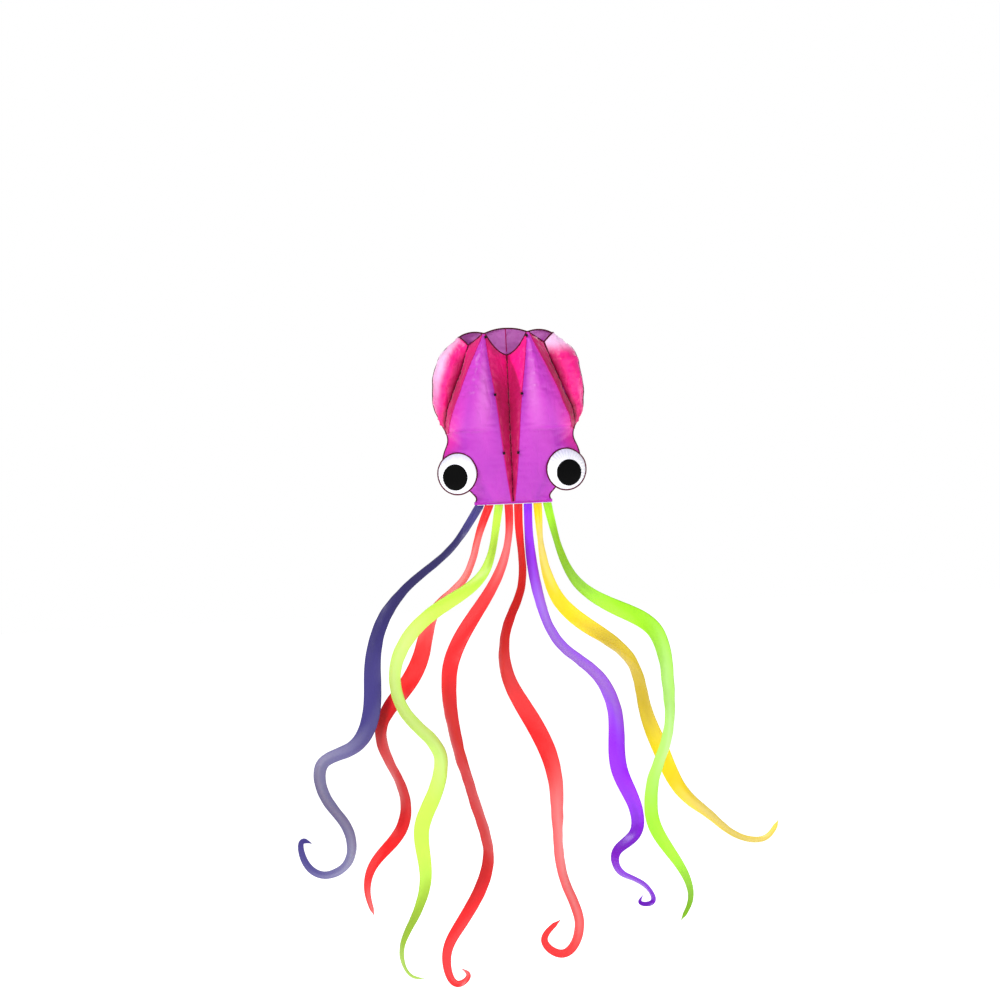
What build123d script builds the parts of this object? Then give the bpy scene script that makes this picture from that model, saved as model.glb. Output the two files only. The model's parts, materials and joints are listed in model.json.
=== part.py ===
"""Frameless soft octopus kite: a ram-air head of sewn ripstop panels with eight ribbon tails.

Seams are laid out with the hem's centre at zero, -Y the flying face, X to the right as one looks at
that face, and Z up. The finished parts are moved so that the origin is midway between the two
uppermost bridle loops, where the kite is held when it flies.
"""
from build123d import *
import math
import os

# ---- driving dimensions, mm ----
HEAD_WIDTH = 810.0  # across the two side lobes
HEAD_HEIGHT = 917.0  # hem to the tips of the front ridges
FRONT_DEPTH = 152.0  # seam plane to the front ridges
BACK_DEPTH = 120.0  # seam plane to the middle of the back
SKIRT_WIDTH = 416.0  # along the hem that carries the tails

CLOTH = 1.6  # closed stand-in wall for one layer of ripstop
BINDING_RADIUS = 4.0  # rolled seam binding
SEAM_INSET = 0.8 * BINDING_RADIUS  # cloth stops this far from a seam's line, inside its binding
ARCH_LIMIT = 0.35  # cloth rises at most this share of the gap between its seams
MOUTH_CORD_RADIUS = 4.5  # rolled hem round the air intake
MOUTH_KNOT = 0.4  # extra radius where the rolled hem turns a corner

HEM_HEIGHT = 18.0
HEM_DEPTH = 12.0
HEM_OVERHANG = 3.0  # the hem tape runs past the cloth at each end

EYE_RADIUS = 110.0
EYE_PUFF = 26.0  # rise of the stuffed white
EYE_RIM_RADIUS = 5.0
EYE_TURN = 18.0  # degrees outward from straight ahead
PUPIL_RADIUS = 71.0
PUPIL_THICKNESS = 3.0
PUPIL_OUT = 8.0  # from the white's middle, outward and down
PUPIL_DOWN = 19.0

LOOP_BORE = 5.0  # radius inside a bridle loop
LOOP_WALL = 1.6
LOOP_WIDTH = 12.0  # width of the loop's webbing
LOOP_STANDOFF = 13.0  # seam line to the middle of the bore
LOOP_LEVELS = {"upper": 0.975, "middle": 0.64, "lower": 0.30}  # shares of the head's height

TAIL_LENGTH = 2900.0  # longest tail along its route
TAIL_WIDTH = 94.0
TAIL_TIP_WIDTH = 24.0
TAIL_GAP = 6.0  # between neighbouring tails along the hem
TAIL_THICKNESS = 1.6
HINGE_DROP = 2.2  # hinge line below the hem
TAIL_SECTIONS = 40

HALF = HEAD_WIDTH / 2
HEM_HALF = SKIRT_WIDTH / 2

# ---- seam routes: (level, across, depth) as shares of height, half width and front or back depth ----
# The edge seam joins the front to the back all round the head's outline.
EDGE = [
    (0.050, 0.515, 0.01), (0.088, 0.535, 0.03), (0.125, 0.690, 0.05), (0.190, 0.880, 0.06),
    (0.275, 0.915, 0.07), (0.400, 0.835, 0.07), (0.525, 0.955, 0.07), (0.655, 1.000, 0.07),
    (0.795, 0.965, 0.07), (0.905, 0.860, 0.07), (0.985, 0.650, 0.06),
]
# The ridge is the front crease that the bridle pulls forward.
RIDGE = [
    (0.012, 0.020, -0.06), (0.100, 0.046, -0.29), (0.190, 0.070, -0.46), (0.275, 0.090, -0.62),
    (0.400, 0.118, -0.79), (0.525, 0.145, -0.90), (0.655, 0.180, -0.97), (0.795, 0.226, -1.00),
    (0.915, 0.258, -0.99), (1.000, 0.276, -0.94),
]
# The centre valley lies between the two ridges.
VALLEY = [
    (0.012, 0.0, -0.05), (0.165, 0.0, -0.20), (0.350, 0.0, -0.33), (0.560, 0.0, -0.41),
    (0.720, 0.0, -0.43), (0.872, 0.0, -0.39),
]
# The shoulder is the outer edge of the front panel above the neck.
SHOULDER = [
    (0.405, 0.838, -0.06), (0.460, 0.815, -0.42), (0.525, 0.775, -0.68), (0.640, 0.670, -0.91),
    (0.790, 0.525, -0.99), (0.910, 0.395, -0.99), (0.996, 0.305, -0.93),
]
# The side valley lies between the shoulder and the lobe, on the side rib.
SIDE_VALLEY = [
    (0.405, 0.846, 0.02), (0.460, 0.862, -0.10), (0.525, 0.845, -0.20), (0.640, 0.755, -0.32),
    (0.790, 0.620, -0.40), (0.880, 0.548, -0.42), (0.938, 0.505, -0.42),
]
BACK_SIDE = [
    (0.012, 0.260, 0.04), (0.190, 0.320, 0.44), (0.400, 0.380, 0.74), (0.655, 0.410, 0.92),
    (0.915, 0.335, 0.86), (1.012, 0.290, 0.72),
]
BACK_MIDDLE = [
    (0.012, 0.0, 0.05), (0.190, 0.0, 0.52), (0.400, 0.0, 0.86), (0.655, 0.0, 1.00),
    (0.915, 0.0, 0.90), (1.038, 0.0, 0.74),
]
EYE_PLACE = (0.189, 0.724, -0.342)  # the middle of the right eye's back, in the same shares

# ---- tails, in order along the hem ----
# sway: fore-and-aft reach, and half waves of it along the tail; twist: turns and where they start;
# route: (across, down) from the tail's own root, for a kite whose longest tail is TAIL_LENGTH
TAILS = {
    "tail_1_navy": dict(sway=(26, 2), twist=(0.9, 0.10), route=[
        (0, 0), (-70, -105), (-165, -225), (-385, -400), (-555, -600), (-625, -860),
        (-645, -1115), (-755, -1290), (-920, -1370), (-920, -1530), (-800, -1725), (-805, -1910),
        (-925, -1975), (-1045, -1885), (-1045, -1785), (-1000, -1800)]),
    "tail_2_red": dict(sway=(62, 1), twist=(1.1, 0.55), route=[
        (0, 0), (-65, -160), (-150, -385), (-330, -575), (-405, -790), (-505, -975),
        (-645, -1175), (-625, -1350), (-535, -1570), (-565, -1755), (-730, -1950), (-760, -2080),
        (-730, -2205)]),
    "tail_3_lime": dict(sway=(-62, 1), twist=(1.0, 0.30), route=[
        (0, 0), (-30, -165), (-105, -375), (-310, -525), (-525, -700), (-610, -940),
        (-530, -1145), (-385, -1330), (-425, -1560), (-500, -1745), (-490, -1985), (-570, -2240),
        (-640, -2430), (-585, -2550), (-525, -2565)]),
    "tail_4_scarlet": dict(sway=(30, 2), twist=(0.8, 0.80), route=[
        (0, 0), (-5, -150), (-78, -390), (-225, -615), (-355, -860), (-370, -1070),
        (-335, -1310), (-240, -1675), (-197, -1905), (-235, -2055), (-380, -2295), (-450, -2490),
        (-385, -2600), (-335, -2555), (-370, -2520)]),
    "tail_5_red": dict(sway=(-28, 2), twist=(1.0, 0.05), route=[
        (0, 0), (-1, -155), (-5, -450), (-98, -690), (-100, -925), (30, -1200), (130, -1480),
        (134, -1795), (170, -2095), (224, -2355), (127, -2465), (35, -2385), (75, -2320),
        (125, -2280)]),
    "tail_6_violet": dict(sway=(30, 2), twist=(0.9, 0.45), route=[
        (0, 0), (-2, -175), (34, -495), (145, -775), (345, -965), (425, -1180), (433, -1475),
        (515, -1705), (495, -1830), (390, -1930), (400, -2010), (555, -2120), (575, -2205),
        (512, -2200), (530, -2165)]),
    "tail_7_yellow": dict(sway=(58, 1), twist=(1.2, 0.70), route=[
        (0, 0), (8, -215), (104, -550), (310, -730), (475, -885), (537, -1150), (618, -1390),
        (727, -1620), (863, -1745), (1013, -1865), (1165, -1878), (1233, -1790)]),
    "tail_8_green": dict(sway=(-58, 1), twist=(1.0, 0.20), route=[
        (0, 0), (32, -160), (140, -435), (355, -590), (540, -705), (610, -985), (594, -1300),
        (507, -1540), (499, -1765), (634, -2010), (682, -2200), (628, -2308)]),
}
LONGEST = "tail_4_scarlet"
# width of a tail along its length: (share of its length, share of TAIL_WIDTH)
TAIL_OUTLINE = [(0.06, 0.49), (0.12, 0.62), (0.33, 0.96), (0.55, 1.00), (0.78, 0.78), (0.92, 0.48)]
TWIST_ANGLE = 52.0
TWIST_START = 0.08  # the hem holds a tail flat, so its twist grows over this share


# ---- geometry helpers ----
def smooth(points):
    """Value by a cubic through (position, value...) rows, with slopes from the rows beside each."""
    count = len(points)

    def slope(i, k):
        low = max(i - 1, 0)
        high = min(i + 1, count - 1)
        return (points[high][k] - points[low][k]) / (points[high][0] - points[low][0])

    def at(position):
        i = 0
        while i < count - 2 and position > points[i + 1][0]:
            i += 1
        a, b = points[i], points[i + 1]
        span = b[0] - a[0]
        t = (position - a[0]) / span
        values = []
        for k in range(1, len(a)):
            values.append(
                (2 * t**3 - 3 * t**2 + 1) * a[k] + (t**3 - 2 * t**2 + t) * span * slope(i, k)
                + (3 * t**2 - 2 * t**3) * b[k] + (t**3 - t**2) * span * slope(i + 1, k))
        return values

    return at


def seam(rows, side=1):
    """A seam as a function of t, 0 at its lowest row and 1 at its highest."""
    at = smooth(rows)
    low = rows[0][0]
    high = rows[-1][0]

    def point(t):
        level = low + (high - low) * t
        across, depth = at(level)
        reach = FRONT_DEPTH if depth < 0 else BACK_DEPTH
        return Vector(side * across * HALF, depth * reach, level * HEAD_HEIGHT)

    return point


def part_of(route, low, high):
    return lambda t: route(low + (high - low) * t)


def share_at(rows, level):
    return (level - rows[0][0]) / (rows[-1][0] - rows[0][0])


def cloth_section(a, b, away, rise):
    """Closed thin section of cloth from seam point a to b, arched by rise towards away."""
    along = (b - a).normalized()
    normal = (away - along * away.dot(along)).normalized()
    start = a + along * SEAM_INSET
    end = b - along * SEAM_INSET
    limit = ARCH_LIMIT * (end - start).length
    middle = (a + b) / 2 + normal * max(-limit, min(rise, limit))
    inner = normal * -CLOTH
    edges = [
        Edge.make_three_point_arc(start, middle, end),
        Edge.make_line(end, end + inner),
        Edge.make_three_point_arc(end + inner, middle + inner, start + inner),
        Edge.make_line(start + inner, start),
    ]
    return Wire(edges)


def cloth_panel(route_a, route_b, away, rise, sections=11):
    """Cloth between two seams; away is its outward side and rise(t) how far it fills."""
    wires = []
    for i in range(sections):
        t = i / (sections - 1)
        wires.append(cloth_section(route_a(t), route_b(t), away, rise(t)))
    return Solid.make_loft(wires)


def rolled(route, radius, sections=15, x_dir=(1, 0.01, 0)):
    """A round binding along a seam."""
    wires = []
    step = 0.002
    for i in range(sections):
        t = i / (sections - 1)
        tangent = route(min(t + step, 1)) - route(max(t - step, 0))
        wires.append(Wire.make_circle(radius, Plane(route(t), x_dir=Vector(x_dir), z_dir=tangent)))
    return Solid.make_loft(wires)


def arched(a, b, away, rise):
    along = (b - a).normalized()
    normal = (away - along * away.dot(along)).normalized()
    return Edge.make_three_point_arc(a, (a + b) / 2 + normal * rise, b)


def lip(points, rises, radius):
    """A rolled hem through points in order, arched by each rise or straight where that is zero."""
    pieces = []
    for i, (away, rise) in enumerate(rises):
        a, b = points[i], points[i + 1]
        if rise:
            path = arched(a, b, away, rise)
            ring = Wire.make_circle(radius, Plane(a, z_dir=path.tangent_at(0)))
            pieces.append(Solid.sweep(Face(ring), path))
        else:
            pieces.append(Solid.make_cylinder(radius, (b - a).length, Plane(a, z_dir=b - a)))
    pieces += [Solid.make_sphere(radius + MOUTH_KNOT, Plane(point), -90, 90, 360) for point in points]
    return one(pieces[0].fuse(*pieces[1:]))


def one(shape):
    """The only solid in a result of fusing or cutting."""
    solids = shape.solids()
    assert len(solids) == 1
    return solids[0]


# ---- head ----
FRONT = Vector(0, -1, 0)
BACK = Vector(0, 1, 0)
ACROSS = Vector(1, 0, 0)
NECK = SHOULDER[0][0]
OUTLINE = [(0.012, SKIRT_WIDTH / HEAD_WIDTH, 0.0)] + EDGE
FRONT_OUTLINE = [row for row in OUTLINE if row[0] < NECK - 0.01] + SHOULDER
LOBE_START = 0.08  # share of the lobe's height where its cloth leaves the neck
LOBE_FILL = (4, 66, 0.06, 0.93)  # least fill, rise, and where the lobe starts and ends on its swell


def filled(t, base, rise, low=0.05, high=0.95):
    """How far air fills a panel at t: base at its ends and base + rise in the middle."""
    return base + rise * math.sin(math.pi * (low + (high - low) * t))


def head_side():
    """The right half of the head's cloth; the left is its mirror image."""
    ridge = seam(RIDGE)
    valley = seam(VALLEY)
    shoulder = seam(SHOULDER)
    side_valley = seam(SIDE_VALLEY)
    outline = seam(OUTLINE)
    back_side = seam(BACK_SIDE)
    lobe_edge = part_of(outline, share_at(OUTLINE, NECK), 1)
    parts = {}
    parts["front_panel"] = cloth_panel(
        ridge, seam(FRONT_OUTLINE), FRONT, lambda t: filled(t, 4, 46, 0, 1.0), 19)
    parts["centre_gore"] = cloth_panel(
        part_of(valley, 0.03, 1), part_of(ridge, 0.03, 1), Vector(-1, -0.6, 0),
        lambda t: -filled(t, 2, 5), 13)
    parts["side_gore"] = cloth_panel(
        part_of(shoulder, 0.05, 1), part_of(side_valley, 0.05, 1), Vector(1, -0.4, 0),
        lambda t: -filled(t, 2, 4), 11)
    parts["side_lobe"] = cloth_panel(
        part_of(side_valley, LOBE_START, 1), part_of(lobe_edge, LOBE_START, 1), Vector(0.3, -1, 0),
        lambda t: filled(t, *LOBE_FILL), 13)
    parts["back_panel_side"] = cloth_panel(
        outline, back_side, Vector(0.3, 1, 0), lambda t: filled(t, 4, 30), 19)
    parts["back_panel_middle"] = cloth_panel(
        back_side, seam(BACK_MIDDLE), BACK, lambda t: filled(t, 3, 12), 13)
    parts["side_rib"] = cloth_panel(
        part_of(side_valley, 0.08, 0.98), part_of(back_side, share_at(BACK_SIDE, 0.45), 0.95),
        ACROSS, lambda t: 1.0, 9)
    parts["ridge_binding"] = rolled(ridge, BINDING_RADIUS)
    parts["edge_binding"] = rolled(outline, BINDING_RADIUS, 21)
    parts["shoulder_binding"] = rolled(part_of(shoulder, 0.04, 1), BINDING_RADIUS)
    parts["side_valley_binding"] = rolled(part_of(side_valley, 0.04, 1), BINDING_RADIUS)
    parts["back_side_binding"] = rolled(back_side, BINDING_RADIUS)
    return parts


def head_middle():
    valley = seam(VALLEY)
    back_middle = seam(BACK_MIDDLE)
    return {
        "centre_rib": cloth_panel(
            part_of(valley, 0.10, 0.98), part_of(back_middle, 0.10, 0.86), ACROSS, lambda t: 1.0, 9),
        "centre_valley_binding": rolled(valley, BINDING_RADIUS),
        "back_middle_binding": rolled(back_middle, BINDING_RADIUS),
    }


def mirrored(vector):
    return Vector(-vector.X, vector.Y, vector.Z)


def mouth():
    """Rolled hems round the air intake: a front lip that dips at the centre, and a back lip."""
    tips = [seam(rows)(1) for rows in (OUTLINE, SIDE_VALLEY, SHOULDER, RIDGE)]
    centre = seam(VALLEY)(1)
    front = tips + [centre] + [mirrored(tip) for tip in reversed(tips)]
    lobe = (Vector(0.3, -1, 0), filled(1, *LOBE_FILL))
    fronts = [lobe, (FRONT, 0), (FRONT, 0), (FRONT, 0)]
    fronts += [(mirrored(away), rise) for away, rise in reversed(fronts)]
    side_tip = seam(BACK_SIDE)(1)
    middle_tip = seam(BACK_MIDDLE)(1)
    arcs = [
        arched(tips[0], side_tip, Vector(0.3, 1, 0), filled(1, 4, 30)),
        arched(side_tip, middle_tip, BACK, filled(1, 3, 12)),
    ]

    def back_route(t):
        """The back lip from the right edge to the left, along the panels' arched tops."""
        way = 2 * t if t <= 0.5 else 2 * (1 - t)
        arc = arcs[min(int(way * len(arcs)), len(arcs) - 1)]
        point = arc.position_at(way * len(arcs) - arcs.index(arc))
        return point if t <= 0.5 else mirrored(point)

    return {
        "mouth_binding_front": lip(front, fronts, MOUTH_CORD_RADIUS),
        "mouth_binding_back": rolled(back_route, MOUTH_CORD_RADIUS, 29, (0, 0.01, 1)),
    }


def hem():
    """Folded tape along the skirt's lower edge, closed at the bottom, that holds cloth and tails."""
    length = SKIRT_WIDTH + 2 * HEM_OVERHANG
    band = Solid.make_box(length, HEM_DEPTH, HEM_HEIGHT)
    band = band.moved(Location((-length / 2, -HEM_DEPTH / 2, 0)))
    return band.fillet(HEM_DEPTH * 0.4, band.edges().filter_by(Axis.X))


def eye_plane():
    turn = math.radians(EYE_TURN)
    outward = Vector(math.sin(turn), -math.cos(turn), 0)
    level, across, depth = EYE_PLACE
    middle = Vector(across * HALF, depth * FRONT_DEPTH, level * HEAD_HEIGHT)
    return Plane(middle, x_dir=Vector(-outward.Y, outward.X, 0), z_dir=outward)


def eye():
    """The right eye: a stuffed white, its piping and a pupil disc sewn on the white's dome."""
    plane = eye_plane()
    dome_radius = (EYE_RADIUS**2 + EYE_PUFF**2) / (2 * EYE_PUFF)
    dome_centre = EYE_PUFF - dome_radius
    dome = Solid.make_sphere(dome_radius, Plane((0, 0, dome_centre)), -90, 90, 360)
    outer = Solid.make_sphere(dome_radius + PUPIL_THICKNESS, Plane((0, 0, dome_centre)), -90, 90, 360)
    white = dome.intersect(Solid.make_cylinder(EYE_RADIUS * 2, EYE_PUFF * 2))
    spot = Solid.make_cylinder(PUPIL_RADIUS, EYE_PUFF * 3, Plane((PUPIL_OUT, -PUPIL_DOWN, 1)))
    pupil = one(spot.intersect(outer)).cut(dome)
    rim = Solid.make_torus(EYE_RADIUS, EYE_RIM_RADIUS)
    place = plane.location
    return {
        "eye_white": one(white).moved(place),
        "eye_pupil": one(pupil).moved(place),
        "eye_rim": rim.moved(place),
    }


def bridle_frame(level):
    """Where a bridle loop's bore lies on the right ridge, and the way its bore runs."""
    ridge = seam(RIDGE)
    t = share_at(RIDGE, level)
    along = (ridge(t + 0.01) - ridge(t - 0.01)).normalized()
    out = (FRONT - along * FRONT.dot(along)).normalized()
    return ridge(t), along, out


def bridle_loop(level):
    """A webbing loop sewn into the ridge seam, open along the seam."""
    root, along, out = bridle_frame(level)
    centre = root + out * LOOP_STANDOFF - along * (LOOP_WIDTH / 2)
    plane = Plane(centre, x_dir=out, z_dir=along)
    ring = Solid.make_cylinder(LOOP_BORE + LOOP_WALL, LOOP_WIDTH, plane)
    reach = LOOP_STANDOFF - LOOP_BORE - LOOP_WALL / 2
    tab = Solid.make_box(reach, 2 * LOOP_WALL, LOOP_WIDTH, Plane((0, 0, 0)))
    tab = tab.moved(Location((-LOOP_STANDOFF, -LOOP_WALL, 0))).moved(plane.location)
    hole = Solid.make_cylinder(LOOP_BORE, LOOP_WIDTH, plane)
    return one(ring.fuse(tab).cut(hole))


# ---- tails ----
def tail_roots():
    pitch = SKIRT_WIDTH / len(TAILS)
    return [-HEM_HALF + pitch * (i + 0.5) for i in range(len(TAILS))]


def tail_width(u):
    root = SKIRT_WIDTH / len(TAILS) - TAIL_GAP
    rows = [(0.0, root)]
    rows += [(share, share_of_width * TAIL_WIDTH) for share, share_of_width in TAIL_OUTLINE]
    rows += [(1.0, TAIL_TIP_WIDTH)]
    return smooth(rows)(u)[0]


def tail_edge(points):
    return Edge.make_spline([Vector(x, 0, z) for x, z in points])


def tail(root, shape):
    """A flat ribbon that hangs from the hinge line at root and whose middle follows its route."""
    scale = TAIL_LENGTH / tail_edge(TAILS[LONGEST]["route"]).length
    path = tail_edge([(x * scale, z * scale) for x, z in shape["route"]])
    reach, half_waves = shape["sway"]
    turns, start = shape["twist"]
    axis = Vector(root, 0, -HINGE_DROP)
    wires = []
    for i in range(TAIL_SECTIONS + 1):
        u = i / TAIL_SECTIONS
        place = path.position_at(u) + axis
        place += Vector(0, reach * math.sin(math.pi * half_waves * u) * min(1, u / TWIST_START), 0)
        direction = path.tangent_at(u) if i else Vector(0, 0, -1)
        grown = min(1, u / TWIST_START)
        angle = grown * TWIST_ANGLE * math.sin(2 * math.pi * (turns * u + start))
        side = Vector(0, 1, 0).cross(direction).normalized()
        side = side.rotate(Axis((0, 0, 0), direction), angle)
        plane = Plane(place, x_dir=side, z_dir=direction)
        wires.append(rectangle(plane, tail_width(u)))
    return Solid.make_loft(wires)


def rectangle(plane, width):
    corners = [(-1, -1), (1, -1), (1, 1), (-1, 1)]
    points = [plane.from_local_coords(Vector(x * width / 2, y * TAIL_THICKNESS / 2, 0))
              for x, y in corners]
    return Wire.make_polygon(points, close=True)


def tails():
    return {name: tail(root, shape) for root, (name, shape) in zip(tail_roots(), TAILS.items())}


def build():
    pairs = {**head_side(), **eye()}
    for place, level in LOOP_LEVELS.items():
        pairs[f"bridle_loop_{place}"] = bridle_loop(level)
    parts = {**head_middle(), **mouth(), "hem_tape": hem(), **tails()}
    for name, solid in pairs.items():
        parts[f"{name}_right"] = solid
        parts[f"{name}_left"] = solid.mirror(Plane.YZ)
    root, along, out = bridle_frame(LOOP_LEVELS["upper"])
    bore = root + out * LOOP_STANDOFF
    origin = Vector(0, bore.Y, bore.Z)
    return {name: solid.moved(Location(-origin)) for name, solid in parts.items()}, origin


def main():
    os.makedirs("parts", exist_ok=True)
    parts, origin = build()
    for name, solid in parts.items():
        export_step(solid, f"parts/{name}.step")
    print("hem centre from the origin", -origin)
    for root in tail_roots():
        print("hinge", root, -origin.Y, -origin.Z - HINGE_DROP)
    for name, shape in TAILS.items():
        print(name, "route", round(tail_edge(shape["route"]).length))
    for place, level in LOOP_LEVELS.items():
        spot, along, out = bridle_frame(level)
        print("loop", place, spot + out * LOOP_STANDOFF - origin, along, out)


if __name__ == "__main__":
    main()
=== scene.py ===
"""Soft octopus kite: its cloth, padding, tails and finishes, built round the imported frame."""
import json
import math

import bmesh
import bpy
import numpy as np
from bpy.props import FloatProperty, FloatVectorProperty, IntProperty, PointerProperty
from bpy.types import Operator, Panel, PropertyGroup
from mathutils import Matrix, Vector, noise


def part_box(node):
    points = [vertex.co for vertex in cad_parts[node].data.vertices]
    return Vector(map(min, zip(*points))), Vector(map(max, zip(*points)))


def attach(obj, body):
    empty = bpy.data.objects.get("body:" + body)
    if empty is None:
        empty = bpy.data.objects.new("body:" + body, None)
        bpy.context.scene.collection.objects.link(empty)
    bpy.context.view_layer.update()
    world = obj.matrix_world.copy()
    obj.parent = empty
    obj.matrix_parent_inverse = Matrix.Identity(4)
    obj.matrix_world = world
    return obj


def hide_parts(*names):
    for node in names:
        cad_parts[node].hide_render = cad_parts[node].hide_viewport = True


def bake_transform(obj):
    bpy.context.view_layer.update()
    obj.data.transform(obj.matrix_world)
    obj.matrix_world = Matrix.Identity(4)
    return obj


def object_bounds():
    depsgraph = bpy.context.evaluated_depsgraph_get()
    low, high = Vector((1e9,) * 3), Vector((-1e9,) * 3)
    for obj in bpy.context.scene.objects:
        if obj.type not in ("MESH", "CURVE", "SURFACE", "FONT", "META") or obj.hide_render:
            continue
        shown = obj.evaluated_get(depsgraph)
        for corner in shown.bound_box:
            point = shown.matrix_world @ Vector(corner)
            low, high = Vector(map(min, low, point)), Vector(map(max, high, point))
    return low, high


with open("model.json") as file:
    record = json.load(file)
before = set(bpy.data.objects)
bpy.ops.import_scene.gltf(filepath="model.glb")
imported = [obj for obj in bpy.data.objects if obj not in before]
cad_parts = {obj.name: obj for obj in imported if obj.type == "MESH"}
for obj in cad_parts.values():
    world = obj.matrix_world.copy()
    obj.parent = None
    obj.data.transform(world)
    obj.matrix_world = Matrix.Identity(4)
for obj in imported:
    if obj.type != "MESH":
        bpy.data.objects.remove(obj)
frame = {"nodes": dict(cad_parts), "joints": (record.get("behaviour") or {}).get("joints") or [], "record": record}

bl_info = {
    "name": "Soft octopus kite",
    "version": (1, 0, 0),
    "blender": (4, 5, 0),
    "location": "3D View > Sidebar > Kite",
    "description": "Builds the cloth head, padded eyes and ribbon tails of a soft octopus kite",
    "category": "Object",
}

CAD_BOX = [list(corner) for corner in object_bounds()]
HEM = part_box("hem_tape")
HEM_LEVEL = HEM[0].z
HEAD_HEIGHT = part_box("ridge_binding_right")[1].z - HEM_LEVEL
HEM_MIDDLE = (HEM[0] + HEM[1]) / 2
ARCH_LIMIT = 0.35  # cloth rises at most this share of the gap between its seams
SEAM_TRIM = 0.009  # length of the slanted ends of a binding, in metres like all sizes here
TAPE_STEP = 0.0035  # between the points along a rolled tape
FINE_SEAM, DARK_SEAM, LIP, PIPING = 0.0028, 0.0038, 0.0040, 0.0040  # radii of the rolled tapes
RIB_ROW, RIB_COLUMNS, RIB_WAVE = 0.012, 22, 0.006
AIR_FRAMES = 22
NOISE_SEED = 7
WEBBING = 0.0014
PUPIL_FELT = 0.0016
TAIL_ROWS, TAIL_COLUMNS = 420, 14
HEM_MARGIN = 0.010  # of the hem that no tail is sewn to
HINGES = {joint["child"]: Vector(joint["pos_m"]) for joint in frame["joints"]}
SIDES = {"left": -1, "right": 1}


# ---------------------------------------------------------------- settings
def colour(name, description, default):
    """A colour setting; its default is given in sRGB, 0 to 255, as on a shade card."""
    linear = [(value / 255) ** 2.2 for value in default]
    return FloatVectorProperty(
        name=name, description=description, subtype="COLOR", size=3, min=0, max=1, default=linear)


def length(name, description, default):
    """A length setting, in metres."""
    return FloatProperty(
        name=name, description=description, default=default, min=0, subtype="DISTANCE", unit="LENGTH")


class KiteHeadSettings(PropertyGroup):
    """Sizes of the head's cloth and what the air does to it."""
    spacing: length("Grid", "Distance between the points of the cloth", 0.009)
    thickness: length("Thickness", "Thickness of the ripstop", 0.0006)
    pressure: FloatProperty(
        name="Air", description="Pressure that fills the panels", default=2.5, min=0)
    slack: FloatProperty(
        name="Slack", description="Share by which a panel is cut too large", default=0.022,
        min=0, max=0.2)
    reach: length("Reach", "Furthest that the air may move a point", 0.015)
    pucker: length("Pucker", "Height of the gathers beside a seam", 0.0018)
    crease: length("Crease", "Height of the creases that packing leaves in a lobe", 0.0075)


class KiteEyeSettings(PropertyGroup):
    """Sizes of the padded eyes."""
    fill: FloatProperty(
        name="Fill", description="How full the eye is stuffed", default=0.7, min=0, max=1)
    gathers: IntProperty(name="Gathers", description="Gathers round the rim", default=34, min=3)
    gather_height: length("Gather height", "Height of the gathers at the rim", 0.0022)


class KiteTailSettings(PropertyGroup):
    """Sizes of the ribbon tails."""
    width: length("Width", "Width that a tail is cut to", 0.094)
    tip_width: length("Tip", "Width at a tail's tip", 0.024)
    gap: length("Gap", "Gap between neighbouring tails at the hem", 0.006)
    longest: length("Length", "Length of the longest tail along its route", 2.9)
    thickness: length("Thickness", "Thickness of the ribbon", 0.0007)
    twist: FloatProperty(
        name="Twist", description="Most that a tail turns about its own length",
        default=math.radians(52), subtype="ANGLE", unit="ROTATION")
    cup: length("Cup", "How far a tail's middle bows out between its edges", 0.009)
    ripple: length("Ripple", "Height of the small ripples along the edges", 0.0035)


class KiteColourSettings(PropertyGroup):
    """Colours of the cloth."""
    violet: colour("Violet", "Front and back panels", (200, 58, 194))
    # Painted shade colour of the violet panels; the hem tape is made in it too.
    violet_deep: colour("Deep violet", "Front and back panels where they turn away", (162, 40, 176))
    pink: colour("Pink", "Lobes and gores", (255, 16, 138))
    # Painted shade colour of the pink cloth; the crimson binding's thread is this colour too.
    pink_deep: colour("Crimson", "Lobes and gores towards a valley", (150, 0, 58))
    # Painted highlight colour of the lobes, standing for light through the cloth.
    pale: colour("Pale", "Lobes where the light comes through", (246, 205, 244))
    pink_seam: colour("Pink seam", "Rolled seams between pink and violet", (214, 20, 120))
    binding: colour("Binding", "Rolled seams and lips", (92, 0, 44))
    white: colour("Eye white", "Padded white of an eye", (250, 250, 255))
    # Painted shade colour of the eye whites.
    white_deep: colour("Eye shade", "Padded white where it turns down", (212, 214, 240))
    black: colour("Black", "Pupil and webbing", (3, 3, 5))
    navy: colour("Navy", "First tail", (64, 55, 128))
    red: colour("Red", "Second and fifth tails", (244, 18, 24))
    lime: colour("Lime", "Third tail", (196, 246, 70))
    scarlet: colour("Scarlet", "Fourth tail", (250, 36, 42))
    purple: colour("Purple", "Sixth tail", (150, 26, 250))
    yellow: colour("Yellow", "Seventh tail", (255, 220, 0))
    green: colour("Green", "Eighth tail", (164, 240, 36))


class KiteStageSettings(PropertyGroup):
    """Camera and light."""
    width: length("Width in view", "Width that the camera sees at the kite", 5.4)
    distance: length("Distance", "Camera to kite", 15.0)
    lean: FloatProperty(
        name="Lean", description="How far the head leans to the left in the view",
        default=math.radians(2.6), subtype="ANGLE", unit="ROTATION")
    across: FloatProperty(
        name="Across", description="Middle of the view, across from the hem's middle",
        default=-0.0714, unit="LENGTH")
    above: FloatProperty(
        name="Above", description="Middle of the view, above the hem", default=0.0227, unit="LENGTH")


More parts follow.
